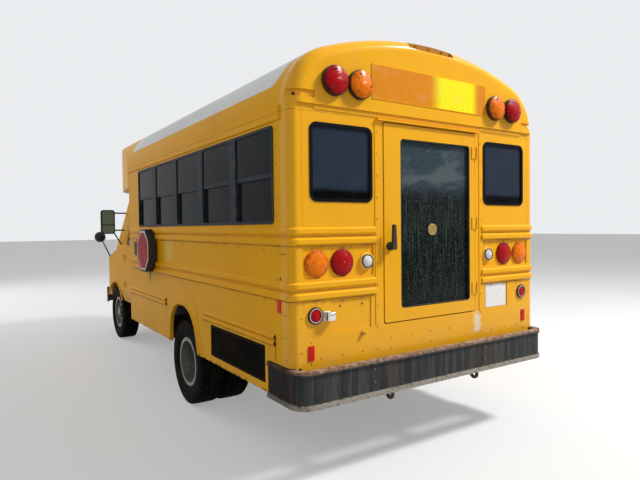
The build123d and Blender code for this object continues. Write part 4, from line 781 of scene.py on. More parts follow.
def slab(name, low, high, corner=0.0, facing=Y_AXIS, edge=0.0):
    """A flat plate between two corners; corner rounds its outline, edge eases its two faces' rims."""
    deselect()
    low, high = Vector(low), Vector(high)
    bpy.ops.mesh.primitive_cube_add(size=1, location=(low + high) / 2, scale=high - low)
    piece = named(name)
    if corner:
        pick_edges(piece, lambda a, b: (b - a).normalized().cross(facing).length < 0.01)
        bpy.ops.mesh.bevel(offset=corner, segments=5, affect="EDGES")
        bpy.ops.object.mode_set(mode="OBJECT")
    if edge:
        pick_edges(piece, lambda a, b: abs((b - a).normalized().dot(facing)) < 0.3)
        bpy.ops.mesh.bevel(offset=edge, segments=1, affect="EDGES")
        bpy.ops.object.mode_set(mode="OBJECT")
    return piece


def turned(facing):
    """The rotation that points a primitive's own Z along facing."""
    return Vector(facing).to_track_quat("Z", "Y").to_euler()


def disc(name, centre, radius, depth, facing, sides=40, edge=0.0):
    """A short cylinder whose middle is at centre; edge eases its rims."""
    deselect()
    bpy.ops.mesh.primitive_cylinder_add(
        vertices=sides, radius=radius, depth=depth, location=centre, rotation=turned(facing)
    )
    piece = named(name)
    if edge:
        bevel_all(piece, edge)
    return piece


def ring(name, centre, radius, wire, facing, sides=48):
    deselect()
    bpy.ops.mesh.primitive_torus_add(
        major_segments=sides, minor_segments=10, major_radius=radius, minor_radius=wire,
        location=centre, rotation=turned(facing),
    )
    return named(name)


print("plates and rings ready")


# %% Borders and copies
def border(piece, facing, width, rise=0.0):
    """Inset the face that looks along facing and give the middle the second material."""
    pick_faces(piece, lambda middle, normal: normal.dot(facing) > 0.99)
    bpy.ops.mesh.inset(thickness=width)
    if rise:
        bpy.ops.transform.translate(value=facing * rise)
    shape = bmesh.from_edit_mesh(piece.data)
    for face in shape.faces:
        if face.select:
            face.material_index = 1
    bmesh.update_edit_mesh(piece.data)
    bpy.ops.object.mode_set(mode="OBJECT")


def joined(name, pieces):
    take(*pieces)
    if len(pieces) > 1:
        bpy.ops.object.join()
    piece = bpy.context.object
    piece.name = name
    piece.data.name = name
    return piece


def repeated(name, model, places):
    """Copies of a modelled piece at every place, joined; the model itself is used up."""
    copies = []
    for place in places:
        twin = model.copy()
        twin.data = model.data.copy()
        bpy.context.collection.objects.link(twin)
        twin.matrix_world = place if isinstance(place, Matrix) else Matrix.Translation(place)
        take(twin)
        bpy.ops.object.transform_apply(location=True, rotation=True, scale=True)
        copies.append(twin)
    bpy.data.objects.remove(model)
    return joined(name, copies)


def facing_place(place, facing):
    """A matrix that stands a piece modelled upright at the origin onto a wall."""
    return Matrix.Translation(place) @ Vector(facing).to_track_quat("Z", "Y").to_matrix().to_4x4()


print("borders and copies ready")

# %% [markdown]
# ## The bright sign over the rear door
# A reflective sheet sits between the warning lamps. It is blank here: orange sheeting with a
# painted yellow glint over one stretch and a faint painted glow, on a thin plate with rounded
# corners. It starts as a cube at the plate's size, and the border is inset so that the sheet
# sits a little inside the plate.


# %% Reflective sheeting
SHEET_ORANGE = rgb(0.70, 0.235, 0.008)
SHEET_GLINT_YELLOW = rgb(0.92, 0.84, 0.01)


def sheeting(name, across):
    """Reflective sheet: a honeycomb of tiny cells, with a painted glint over the stretch named across.
    """
    paint = Paint(name)
    cells = paint.cells(210)
    # A painted glint: yellow over the stretch named across.
    glint = paint.ramp(paint.x, across[0] - 0.05, across[0] + 0.04)
    glint = glint * (1 - paint.ramp(paint.x, across[1] - 0.04, across[1] + 0.10))
    colour = paint.mix(SHEET_ORANGE, SHEET_GLINT_YELLOW, glint)
    colour = paint.mix(colour, darker(SHEET_ORANGE, 0.6), paint.ramp(cells, 0.45, 0.75) * 0.35)
    grime = paint.ramp(paint.noise(8, 5), 0.5, 0.75)
    colour = paint.mix(colour, DUST, grime * 0.12)
    paint.set(Base_Color=colour, Roughness=0.25 + grime * 0.3, Normal=paint.bump(cells, 0.2, 0.0006))
    # The faint emission is painted light.
    paint.set(Specular_IOR_Level=0.15, Emission_Color=colour, Emission_Strength=0.04)
    return paint.material


orange_sheet = sheeting("orange_sheeting", (-0.44, -0.06))
print("reflective sheeting made")

# %% Rear sign
SIGN_X = (-0.572, 0.568)
SIGN_Z = (2.476, 2.711)
SIGN_DEPTH = 0.004


def add_sign(name, face_y, facing, x, z, sheet):
    """A blank plate on the face at face_y, with its sheet a little inside its outline."""
    y = sorted((face_y, face_y + facing.y * SIGN_DEPTH))
    piece = slab(name, (x[0], y[0], z[0]), (x[1], y[1], z[1]), 0.006, Y_AXIS, 0.001)
    border(piece, facing, 0.004)
    return done(piece, "root", yellow_paint, sheet)


add_sign("rear_sign", CAP_Y, Y_AXIS, SIGN_X, SIGN_Z, orange_sheet)
print("rear sign", [round(v, 3) for v in (*SIGN_X, *SIGN_Z)])

# %% [markdown]
# ## Small plates and reflectors
# Low on the rear panel are two red reflectors, one more stands on each side wall, and a blank
# white notice fills the shallow recess right of the door. A blue square sticker with a pale
# edge and a plain gold disc are on the door. The reflectors are slabs with eased edges. The
# notice, the sticker and the disc have a border that is inset from their outline.


# %% Reflector plastic and printed sheet
def facets(name, colour, glow):
    """Reflector plastic: fine upright and level prisms, and a faint painted glow."""
    paint = Paint(name)
    grid = (paint.y * 260 + paint.x * 260) % 1 * 0.5 + (paint.z * 260) % 1 * 0.5
    shade = paint.mix(colour, darker(colour, 0.4), paint.ramp(grid, 0.2, 0.8) * 0.5)
    paint.set(Base_Color=shade, Roughness=0.25, Normal=paint.bump(grid, 0.4, 0.001))
    paint.set(Specular_IOR_Level=0.1)
    # The faint emission is painted light.
    paint.set(Emission_Color=darker(colour, glow), Emission_Strength=1.0)
    return paint.material


def printed(name, colour, wear):
    """Printed sheet that has lost a little colour and taken some dirt."""
    paint = Paint(name)
    worn = paint.ramp(paint.noise(40, 5), 0.55, 0.70) * wear
    colour = paint.mix(colour, rgb(0.42, 0.38, 0.32), worn)
    paint.set(Base_Color=colour, Roughness=0.35 + worn * 0.3)
    paint.set(Normal=paint.bump(paint.noise(300, 2), 0.1, 0.0004))
    return paint.material


red_facets = facets("red_reflector", rgb(0.62, 0.010, 0.012), 0.08)
white_print = printed("white_notice", rgb(0.78, 0.77, 0.74), 0.5)
blue_print = printed("blue_sticker", rgb(0.02, 0.08, 0.42), 0.3)
gold_print = printed("gold_sticker", rgb(0.50, 0.32, 0.05), 0.4)
worn_gold = printed("gold_sticker_middle", rgb(0.30, 0.19, 0.03), 0.5)
print("reflector plastic and printed sheet made")

# %% Reflectors
REFLECTOR_DEPTH = 0.006
REFLECTOR_HALF_Z = 0.047
REAR_REFLECTOR_HALF = 0.023
SIDE_REFLECTOR_HALF = 0.022
REAR_REFLECTORS = (("left_low_reflector", 1.056, 0.840), ("right_low_reflector", -1.050, 0.872))
SIDE_REFLECTOR_YZ = (REAR_Y - 0.149, 1.135)


def add_reflector(name, low, high, facing):
    done(slab(name, low, high, 0.006, facing, 0.0015), "root", red_facets)


def add_reflectors():
    for name, x, z in REAR_REFLECTORS:
        low = (x - REAR_REFLECTOR_HALF, REAR_Y, z - REFLECTOR_HALF_Z)
        high = (x + REAR_REFLECTOR_HALF, REAR_Y + REFLECTOR_DEPTH, z + REFLECTOR_HALF_Z)
        add_reflector(name, low, high, Y_AXIS)
    y, z = SIDE_REFLECTOR_YZ
    for name, side in (("left_side_reflector", 1), ("right_side_reflector", -1)):
        x = sorted((side * HALF, side * (HALF + REFLECTOR_DEPTH)))
        low = (x[0], y - SIDE_REFLECTOR_HALF, z - REFLECTOR_HALF_Z)
        high = (x[1], y + SIDE_REFLECTOR_HALF, z + REFLECTOR_HALF_Z)
        add_reflector(name, low, high, X_AXIS)


add_reflectors()
print("reflectors set")

# %% Notice and stickers
NOTICE_X, NOTICE_Z = (-0.838, -0.590), (0.975, 1.158)
NOTICE_Y = (REAR_Y - 0.006, REAR_Y - 0.004)
BLUE_X, BLUE_Z = (0.342, 0.441), (1.358, 1.459)
GOLD_PLACE = (-0.020, REAR_Y - 0.017, 1.602)
GOLD_R = 0.042
STICKER_DEPTH = 0.0015


def add_rear_plates():
    low, high = zip(NOTICE_X, NOTICE_Y, NOTICE_Z)
    notice = slab("white_notice", low, high, 0.006)
    border(notice, Y_AXIS, 0.006)
    done(notice, "root", pale_edge, white_print)
    low, high = zip(BLUE_X, (REAR_Y, REAR_Y + STICKER_DEPTH), BLUE_Z)
    sticker = slab("blue_sticker", low, high, 0.003)
    border(sticker, Y_AXIS, 0.007)
    done(sticker, "rear_door", pale_edge, blue_print)
    gold = disc("gold_sticker", GOLD_PLACE, GOLD_R, STICKER_DEPTH, Y_AXIS)
    border(gold, Y_AXIS, 0.008)
    done(gold, "rear_door", gold_print, worn_gold)


add_rear_plates()
print("notice and stickers set")

# %% [markdown]
# ## Lamp trim
# The reversing lamps have a dark bezel, and the stop lamps a pale ring inside the rubber, a
# painted highlight round the lens.
# Each panel lamp is held by two screws, and each warning lens by three. A bezel is a torus at
# the lens's rim. The screw is modelled once, as a ten-sided disc with a raised head and a sunk
# middle, and then copied.


# %% A screw and its copies
def screw_head(radius, height):
    """A pan-head screw that stands on z = 0 and looks up."""
    deselect()
    bpy.ops.mesh.primitive_cylinder_add(
        vertices=10, radius=radius, depth=height, location=(0, 0, height / 2)
    )
    head = named("screw_model")
    pick_faces(head, lambda middle, normal: normal.z > 0.9)
    bpy.ops.mesh.inset(thickness=radius * 0.30)
    bpy.ops.transform.translate(value=(0, 0, height * 0.35))
    bpy.ops.mesh.inset(thickness=radius * 0.35)
    bpy.ops.transform.translate(value=(0, 0, -height * 0.5))
    bpy.ops.object.mode_set(mode="OBJECT")
    return head


def screws(name, places, facing, radius, material, body="root", height=0.003):
    spots = [facing_place(Vector(place), facing) for place in places]
    return done(repeated(name, screw_head(radius, height), spots), body, material)


print("screw model ready")

# %% Bezels and lamp screws
PANEL_LAMPS = ((TURN_X, 0.088), (TAIL_X, 0.088), (REVERSING_X, 0.057))
WARNING_SCREW_RING = 0.066
BEZEL_R, BEZEL_WIRE = 0.0425, 0.0050
STOP_RING_R, STOP_RING_WIRE = 0.0435, 0.0022


def around(x, y, z, reach, turns):
    """Places on an upright circle round x, z, at these angles in degrees."""
    angles = [math.radians(turn) for turn in turns]
    return [(x + reach * math.cos(angle), y, z + reach * math.sin(angle)) for angle in angles]


def add_lamp_trim():
    panel_spots, warning_spots = [], []
    for word, side in (("left", 1), ("right", -1)):
        place = (side * REVERSING_X, REAR_Y + 0.012, REVERSING_Z)
        bezel = ring(word + "_reversing_bezel", place, BEZEL_R, BEZEL_WIRE, Y_AXIS)
        done(bezel, "root", black_trim)
        place = (side * STOP_LAMP_X, REAR_Y + 0.0125, STOP_LAMP_Z)
        # A pale ring inside each stop lamp's rubber: a painted highlight.
        pale = ring(word + "_stop_lamp_highlight_ring", place, STOP_RING_R, STOP_RING_WIRE, Y_AXIS)
        done(pale, "root", pale_edge)
        for x, radius in PANEL_LAMPS:
            panel_spots += around(side * x, REAR_Y + 0.006, PANEL_LAMP_Z, radius * 0.86, (35, 215))
        for x in (WARNING_RED_X, WARNING_AMBER_X):
            warning_spots += around(
                side * x, CAP_Y + 0.047, WARNING_Z, WARNING_SCREW_RING, (70, 190, 310)
            )
    screws("panel_lamp_screws", panel_spots, Y_AXIS, 0.0045, screw_metal, height=0.006)
    screws("warning_lamp_screws", warning_spots, Y_AXIS, 0.0050, screw_metal, height=0.006)


add_lamp_trim()
print("lamp trim added")

# %% [markdown]
# ## Number plate lamp
# A small chrome lamp stands at the left of the plate recess and shines sideways on it. It is a
# rounded block on a foot. The side face towards the plate is inset and pushed in, which leaves a
# hood round a clear window.


# %% Plate lamp and its screws
PLATE_LAMP = Vector((0.940, REAR_Y, 1.062))
PLATE_X = 0.738
PLATE_SCREWS_HALF = 0.089
PLATE_SCREWS_Z = 1.118
BRASS_STUB = (0.650, REAR_Y, 0.920)


def add_plate_lamp():
    x, y, z = PLATE_LAMP
    low, high = (x - 0.028, y, z - 0.032), (x + 0.024, y + 0.006, z + 0.032)
    base = slab("plate_lamp_foot", low, high, 0.008, Y_AXIS, 0.001)
    low, high = (x - 0.046, y + 0.004, z - 0.028), (x + 0.014, y + 0.046, z + 0.028)
    hood = slab("plate_lamp_hood", low, high)
    bevel_all(hood, 0.007, 3)
    pick_faces(hood, lambda middle, normal: normal.x < -0.9)
    bpy.ops.mesh.inset(thickness=0.006)
    bpy.ops.transform.translate(value=(0.006, 0, 0))
    bpy.ops.object.mode_set(mode="OBJECT")
    done(joined("plate_lamp", [hood, base]), "root", bright_metal)
    low, high = (x - 0.044, y + 0.012, z - 0.018), (x - 0.040, y + 0.038, z + 0.018)
    done(slab("plate_lamp_window", low, high, 0.003, X_AXIS), "root", clear_plastic)
    places = [(side * PLATE_SCREWS_HALF + PLATE_X, y - 0.006, PLATE_SCREWS_Z) for side in (1, -1)]
    screws("plate_screws", places, Y_AXIS, 0.0065, screw_metal, height=0.005)


add_plate_lamp()
brass = rough_metal("brass", rgb(0.50, 0.27, 0.05), 0.35, 0.6, 0.3)
screws("brass_stub", [BRASS_STUB], Y_AXIS, 0.015, brass, height=0.016)
print("plate lamp at", [round(v, 3) for v in PLATE_LAMP])

# %% [markdown]
# ## Rows of screws
# The skin panels overlap, and every lap is held by a row of small screws that have gone brown:
# under the rub rails, down the door jambs, along the foot of the rear panel and down the seam
# behind the last window. A table gives each row's two ends and its number of screws.

# %% Panel screws
# A rear row holds x and z of its ends, its number of screws, and how far they stand proud.
REAR_ROWS = (
    ((0.655, 1.499), (0.960, 1.499), 3, 0),
    ((0.655, 1.150), (0.960, 1.150), 3, 0),
    ((0.5215, 0.80), (0.5215, 2.26), 11, 0.004),
    ((1.125, 0.85), (1.125, 1.06), 2, 0),
    ((0.650, 0.800), (0.980, 0.800), 3, 0),
    ((1.056, 0.905), (1.056, 0.772), 2, 0),
)
MIDDLE_ROWS = (((-0.36, 0.86), (0.40, 0.86), 5), ((-0.36, 0.79), (0.40, 0.79), 3))
# A side row holds y and z of its ends, and its number of screws.
SIDE_ROWS = (
    ((REAR_Y - 0.175, 1.70), (REAR_Y - 0.175, 2.25), 6),
    ((REAR_Y - 0.170, 1.30), (REAR_Y - 0.170, 1.48), 2),
    ((REAR_Y - 0.070, 0.80), (REAR_Y - 0.070, 1.08), 3),
    ((BODY_FRONT_Y + 0.30, 1.145), (REAR_Y - 0.35, 1.145), 9),
    ((BODY_FRONT_Y + 0.30, 1.489), (REAR_Y - 0.35, 1.489), 9),
    ((BODY_FRONT_Y + 0.10, 0.70), (BODY_FRONT_Y + 0.10, 1.10), 4),
)
PANEL_SCREW_R = 0.0045
PANEL_SCREW_HEIGHT = 0.002


def row(start, end, count):
    """Evenly spaced places from start to end."""
    first, last = Vector(start), Vector(end)
    return [first.lerp(last, step / (count - 1)) for step in range(count)]


def screw_panel(name, places, facing):
    screws(name, places, facing, PANEL_SCREW_R, screw_metal, height=PANEL_SCREW_HEIGHT)


def add_panel_screws():
    places = []
    for side in (1, -1):
        for (x0, z0), (x1, z1), count, proud in REAR_ROWS:
            y = REAR_Y + proud
            places += row((side * x0, y, z0), (side * x1, y, z1), count)
    for (x0, z0), (x1, z1), count in MIDDLE_ROWS:
        places += row((x0, REAR_Y, z0), (x1, REAR_Y, z1), count)
    screw_panel("rear_panel_screws", places, Y_AXIS)
    for word, side in (("left", 1), ("right", -1)):
        x = side * HALF
        places = []
        for (y0, z0), (y1, z1), count in SIDE_ROWS:
            places += row((x, y0, z0), (x, y1, z1), count)
        screw_panel(word + "_panel_screws", places, Vector((side, 0, 0)))


add_panel_screws()
print("panel screws added")

# %% [markdown]
# ## Rubber round the rear door glass
# The tall pane is held in a black rubber channel. A slab at the pane's size has its face
# inset front and back, and the two middles are bridged, which leaves a frame.


# %% Door pane rubber
def frame_of(name, low, high, width, corner, facing=Y_AXIS):
    """A slab opened into a frame: both faces inset, their middles bridged to each other."""
    piece = slab(name, low, high, corner, facing)
    pick_faces(piece, lambda middle, normal: abs(normal.dot(facing)) > 0.99)
    bpy.ops.mesh.inset(thickness=width)
    bpy.ops.mesh.bridge_edge_loops()
    bpy.ops.object.mode_set(mode="OBJECT")
    bevel = piece.modifiers.new("soft_edges", "BEVEL")
    bevel.width = 0.0012
    bevel.segments = 2
    bevel.limit_method = "ANGLE"
    take(piece)
    bpy.ops.object.modifier_apply(modifier=bevel.name)
    return piece


RUBBER_LAP = 0.006
RUBBER_WIDTH = 0.015
RUBBER_CORNER = 0.018
pane_low, pane_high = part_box("rear_door_glass")
rubber = frame_of(
    "rear_door_rubber",
    (pane_low.x - RUBBER_LAP, pane_high.y - 0.001, pane_low.z - RUBBER_LAP),
    (pane_high.x + RUBBER_LAP, REAR_Y + 0.003, pane_high.z + RUBBER_LAP),
    RUBBER_WIDTH, RUBBER_CORNER,
)
done(rubber, "rear_door", black_rubber)
print("door rubber", len(rubber.data.polygons), "faces")

# %% [markdown]
# ## Bolts on the bumper
# Two pairs of carriage bolts go through the rear bumper's face into the frame's tails. The
# same screw model serves, larger and with a deeper head.

# %% Bumper bolts
BUMPER_FACE_Y = bumper_high.y - 0.010
BOLTS_X = (0.627, -0.453)
BOLTS_Z = (0.697, 0.610)
places = [(x, BUMPER_FACE_Y, z) for x in BOLTS_X for z in BOLTS_Z]
screws("bumper_bolts", places, Y_AXIS, 0.009, screw_metal, height=0.005)
print("bumper bolts added")

# %% [markdown]
# ## Stop arm
# The arm is an octagonal drum that folds against the left wall. Each of its two faces is a red
# sheet with a white edge, left blank. A cylinder with eight sides gives the octagon, the inset
# gives the white edge, and the sheet sits in the shallow recess of the drum's face.


# %% Stop arm's red
def weathered_red():
    """Sun-faded red: pinkish and streaked towards the lower half."""
    paint = Paint("stop_face_red")
    fade = paint.ramp(paint.z + paint.noise(12, 5, (1, 1, 0.3)) * 0.25, 1.42, 1.62)
    chalk = paint.ramp(paint.noise(26, 5, (1, 1, 0.25)), 0.44, 0.64) * (1 - fade)
    colour = paint.mix(rgb(0.36, 0.006, 0.010), rgb(0.62, 0.22, 0.24), chalk * 0.55)
    paint.set(Base_Color=colour, Roughness=0.35 + chalk * 0.3, Specular_IOR_Level=0.04)
    paint.set(Normal=paint.bump(paint.noise(60, 3), 0.15, 0.001))
    return paint.material


stop_face_red = weathered_red()
print("stop arm's red made")

# %% Stop arm faces
STOP_FACE_ACROSS = 0.406
STOP_FACE_EDGE = 0.017
STOP_FACE_Y = STOP_ARM.y + 0.021


def add_stop_face(name, x, facing):
    half_side = math.pi / 8
    radius = STOP_FACE_ACROSS / 2 / math.cos(half_side)
    deselect()
    bpy.ops.mesh.primitive_cylinder_add(
        vertices=8, radius=radius, depth=0.002, rotation=(0, 0, half_side)
    )
    piece = named(name)
    upright = Matrix.Rotation(math.pi / 2, 4, "Y")
    piece.matrix_world = Matrix.Translation((x, STOP_FACE_Y, STOP_ARM.z)) @ upright
    take(piece)
    bpy.ops.object.transform_apply(location=True, rotation=True, scale=True)
    border(piece, facing, STOP_FACE_EDGE)
    return done(piece, "stop_arm", pale_edge, stop_face_red)


stop_low, stop_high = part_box("stop_arm")
STOP_FACE_X = stop_high.x - 0.0015
add_stop_face("stop_face_out", STOP_FACE_X, X_AXIS)
add_stop_face("stop_face_in", stop_low.x + 0.0005, -X_AXIS)
print("stop arm's faces at x", round(STOP_FACE_X, 4), "and", round(stop_low.x, 4))

# %% [markdown]
# ## Side fittings
# The motor that swings the stop arm is in a small black box just ahead of it. The corner seats
# of the rear cap have lost their marker lamps, and a black screw head in each empty mount hole
# stands for its dark, as painted shade. The left wall has a short crack, and a black disc for a
# hole, as painted shade. These are slabs, screws and a disc that sit on their panels.


# %% Arm motor, seat screws, crack and hole
MOTOR_LOW, MOTOR_HIGH = (1.196, -0.215, 1.335), (1.272, -0.085, 1.485)
CORNER_SEAT = (1.147, 3.101, 2.444)
CRACK_LOW, CRACK_HIGH = (HALF - 0.001, 2.985, 1.4590), (HALF + 0.0004, 3.073, 1.4625)
HOLE_PLACE, HOLE_R = (HALF, 3.001, 1.303), 0.009


def add_side_fittings():
    motor = slab("arm_motor_box", MOTOR_LOW, MOTOR_HIGH, 0.012, X_AXIS, 0.004)
    done(motor, "root", black_trim)
    x, y, z = CORNER_SEAT
    for word, side in (("left", 1), ("right", -1)):
        facing = Vector((side, 1, 0)).normalized()
        place = (side * x, y, z)
        # A black screw head in each empty lamp-mount hole: painted shade of the hole.
        screws(word + "_seat_hole_shade", [place], facing, 0.010, black_rubber, height=0.008)
    done(slab("side_crack", CRACK_LOW, CRACK_HIGH, 0.001, X_AXIS), "root", black_rubber)
    # A black disc for the hole in the left wall: painted shade.
    done(disc("side_hole", HOLE_PLACE, HOLE_R, 0.001, X_AXIS, 20), "root", black_rubber)


add_side_fittings()
print("arm motor, seat screws, crack and hole added")

# %% [markdown]
# ## Mirror glass and the driver's handle
# The two head mirrors carry a flat glass above and a small wide-angle glass below, both facing
# back. The driver's door has a pull handle and a lock. Each glass is a slab with a rounded
# outline and a raised black edge, coloured a flat grey-green as a painted reflection.


# %% Mirror glass
MIRROR_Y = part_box("mirrors")[1].y
MIRROR_X = (1.121, 1.274)
MIRROR_GLASSES = (("upper", 1.690, 1.880), ("lower", 1.574, 1.680))
EDGE = Vector((0.005, 0.0012, 0.005))


def add_mirror_glass():
    for word, side in (("left", 1), ("right", -1)):
        x = sorted((side * MIRROR_X[0], side * MIRROR_X[1]))
        for part, low_z, high_z in MIRROR_GLASSES:
            name = f"{word}_mirror_{part}"
            low, high = (x[0], MIRROR_Y - 0.001, low_z), (x[1], MIRROR_Y + 0.0015, high_z)
            done(slab(name, low, high, 0.014, Y_AXIS), "root", mirror_painted_reflection)
            low, high = Vector(low) - EDGE, Vector(high) + EDGE
            edge = frame_of(name + "_edge", low, high, 0.007, 0.016)
            done(edge, "root", black_rubber)


add_mirror_glass()
print("mirror glass at y", round(MIRROR_Y, 3))


# %% Door handle
HANDLE_YZ = (-0.905, 1.255)


def add_door_handle():
    """A pull handle on the driver's door: a cup plate with a bar that stands over it."""
    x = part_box("driver_door")[1].x
    y, z = HANDLE_YZ
    low, high = (x - 0.006, y - 0.085, z - 0.030), (x + 0.002, y + 0.055, z + 0.030)
    plate = slab("driver_handle_plate", low, high, 0.014, X_AXIS)
    low, high = (x + 0.001, y - 0.075, z - 0.012), (x + 0.024, y + 0.040, z + 0.012)
    bar = slab("driver_handle_bar", low, high, 0.006, X_AXIS)
    bevel_all(bar, 0.004, 2)
    lock = disc("driver_lock", (x + 0.001, y + 0.075, z), 0.013, 0.008, X_AXIS, 20, 0.002)
    done(joined("driver_handle", [plate, bar]), "driver_door", black_trim)
    done(lock, "driver_door", bright_metal)


add_door_handle()
print("driver's handle added")

# %% [markdown]
# ## The right corner of the nose
# The cab shell comes without the skin of its right front corner. The left corner is whole, so a
# copy of the shell is cut down to that corner with two planes, mirrored across the bus and
# turned the right way out. It sits a millimetre proud, so that it covers the edges it meets.


# %% Right nose corner
CORNER_FROM_X = 0.715
CORNER_TO_Y = -2.795


def add_nose_corner():
    deselect()
    corner = bpy.data.objects.new("right_nose_corner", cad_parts["cab_shell"].data.copy())
    bpy.context.collection.objects.link(corner)
    take(corner)
    bpy.ops.object.mode_set(mode="EDIT")
    bpy.ops.mesh.select_mode(type="VERT")
    bpy.ops.mesh.select_all(action="SELECT")
    bpy.ops.mesh.remove_doubles(threshold=0.00001)
    for spot, away in (((CORNER_FROM_X, 0, 0), X_AXIS), ((0, CORNER_TO_Y, 0), -Y_AXIS)):
        bpy.ops.mesh.select_all(action="SELECT")
        bpy.ops.mesh.bisect(plane_co=spot, plane_no=away, use_fill=True, clear_inner=True)
    bpy.ops.object.mode_set(mode="OBJECT")
    bpy.ops.transform.resize(value=(-1, 1, 1), center_override=(0, 0, 0))
    bpy.ops.object.transform_apply(location=True, rotation=True, scale=True)
    bpy.ops.object.mode_set(mode="EDIT")
    bpy.ops.mesh.select_all(action="SELECT")
    bpy.ops.mesh.normals_make_consistent(inside=False)
    bpy.ops.transform.shrink_fatten(value=0.001)
    bpy.ops.object.mode_set(mode="OBJECT")
    corner.data.materials.clear()
    return done(corner, "root", yellow_paint)


corner = add_nose_corner()
spots = [v.co for v in corner.data.vertices]
print("nose corner", [round(min(p[i] for p in spots), 3) for i in range(3)],
      [round(max(p[i] for p in spots), 3) for i in range(3)], len(corner.data.polygons), "faces")

# %% [markdown]
# ## Behind the grille
# A dark radiator panel stands behind the nose grille: a slab whose front face is inset, with a
# row of upright tubes copied across it.


# %% Radiator
RADIATOR_HALF = 0.585
RADIATOR_Y = (-3.045, -3.020)
RADIATOR_Z = (0.640, 1.060)
TUBE_HALF = 0.004
TUBE_Y = (-3.056, -3.042)
TUBE_STEP = 0.026
TUBES_EACH_SIDE = 21


def add_radiator():
    foot, top = RADIATOR_Z
    low, high = (-RADIATOR_HALF, RADIATOR_Y[0], foot), (RADIATOR_HALF, RADIATOR_Y[1], top)
    back = slab("radiator_core", low, high)
    border(back, -Y_AXIS, 0.030, 0.004)
    low, high = (-TUBE_HALF, TUBE_Y[0], foot + 0.03), (TUBE_HALF, TUBE_Y[1], top - 0.03)
    tube = slab("tube_model", low, high)
    numbers = range(-TUBES_EACH_SIDE, TUBES_EACH_SIDE + 1)
    places = [Vector((number * TUBE_STEP, 0, 0)) for number in numbers]
    tubes = repeated("radiator_tubes", tube, places)
    done(back, "root", black_trim, black_rubber)
    done(tubes, "root", chassis_paint)


add_radiator()
print("radiator added")

# %% [markdown]
# ## Filler beside the right pillar
# The wall over the entrance stands proud of the cab's pillar. A yellow filler plate closes the
# wedge between them, from the cap's lower edge down to where the two meet.


# %% Pillar filler
FILLER_LOW = (-1.012, -1.766, 1.420)
FILLER_HIGH = (-0.858, -1.748, 2.119)


def add_filler():
    plate = slab("pillar_filler", FILLER_LOW, FILLER_HIGH, 0.0, Y_AXIS, 0.002)
    return done(plate, "root", yellow_paint)


add_filler()
print("filler from z", FILLER_LOW[2], "to", FILLER_HIGH[2])

# %% [markdown]
# ## The sign on the front cap
# The front cap carries a blank sign plate too, narrower than the rear one, between its lamps.
# It is made by the same function, and its sheeting carries a painted glint in the middle.

# %% Front sign
FRONT_SIGN_X = (-0.370, 0.370)
FRONT_SIGN_Z = (2.345, 2.535)
front_sheet = sheeting("front_sheeting", (-0.24, 0.24))
front_face_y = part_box("front_cap")[0].y
add_sign("front_sign", front_face_y, -Y_AXIS, FRONT_SIGN_X, FRONT_SIGN_Z, front_sheet)
print("front sign at y", round(front_face_y, 3))

# %% [markdown]
# ## Wipers
# Two wipers lie at the foot of the windshield. Each is a round pivot, a thin arm and a longer
# blade, all cylinders laid from one point to the next, a few millimetres clear of the glass.


# %% Wipers
GLASS_SLOPE = 0.76
GLASS_FACING = Vector((0, -0.796, 0.605))
GLASS_Z = 1.5
GLASS_Y = -2.1283


def on_glass(x, z, proud):
    """A place over the windshield, whose outer face stands at GLASS_Y at the height GLASS_Z."""
    return Vector((x, GLASS_Y + (z - GLASS_Z) * GLASS_SLOPE, z)) + GLASS_FACING * proud


def rod(name, start, end, radius, sides=10):
    deselect()
    along = end - start
    bpy.ops.mesh.primitive_cylinder_add(
        vertices=sides, radius=radius, depth=along.length,
        location=(start + end) / 2, rotation=turned(along),
    )
    return named(name)


def add_wiper(word, x):
    pivot = on_glass(x, 1.358, 0.006)
    foot = disc(word + "_wiper_foot", pivot, 0.018, 0.030, GLASS_FACING, 20, 0.002)
    tip = on_glass(x - 0.30, 1.430, 0.020)
    arm = rod(word + "_wiper_arm", pivot + GLASS_FACING * 0.012, tip, 0.0055)
    ends = on_glass(x - 0.06, 1.402, 0.008), on_glass(x - 0.54, 1.458, 0.008)
    blade = rod(word + "_wiper_blade", *ends, 0.0065)
    ends = on_glass(x - 0.12, 1.410, 0.017), on_glass(x - 0.48, 1.452, 0.017)
    spine = rod(word + "_wiper_spine", *ends, 0.0035)
    return done(joined(word + "_wiper", [foot, arm, blade, spine]), "root", black_trim)


for word, x in (("left", 0.62), ("right", 0.02)):
    add_wiper(word, x)
print("wipers laid on the glass")

# %% [markdown]
# ## Seats
# Eight bench seats and the driver's seat fill the bus. A bench is a foam cushion and a tall
# padded back in dark blue vinyl: full in the middle, pulled in at the seams, with two sewn
# channels. Each is a cube that is beveled, cut into a fine grid and then crowned: every corner
# of the grid sinks by how near it is to the pad's edges, so that the middle stands full. It
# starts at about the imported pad's size, so the crowned form fits the same space. One function
# makes every pad, at its own place and size.


# %% Seat vinyl
def vinyl(name, colour):
    """Seat vinyl: small leather grain, paler and shinier where it is worn."""
    paint = Paint(name)
    grain = paint.cells(260)
    worn = paint.ramp(paint.noise(5, 4), 0.45, 0.70)
    shade = paint.mix(colour, darker(colour, 1.7), worn * 0.5)
    paint.set(Base_Color=shade, Roughness=0.50 - worn * 0.14, Normal=paint.bump(grain, 0.30, 0.0008))
    return paint.material


bench_vinyl = vinyl("bench_vinyl", rgb(0.020, 0.036, 0.075))
driver_vinyl = vinyl("driver_seat_vinyl", rgb(0.040, 0.042, 0.046))
print("seat vinyl made")

# %% One pad
PAD_CROWN = 0.016
SEAM_SINK = 0.006
SEAM_HALF = 0.010
PAD_WAIST = 0.006
PAD_GAP = 0.002
BACKWARD, UPWARD = 1, 2


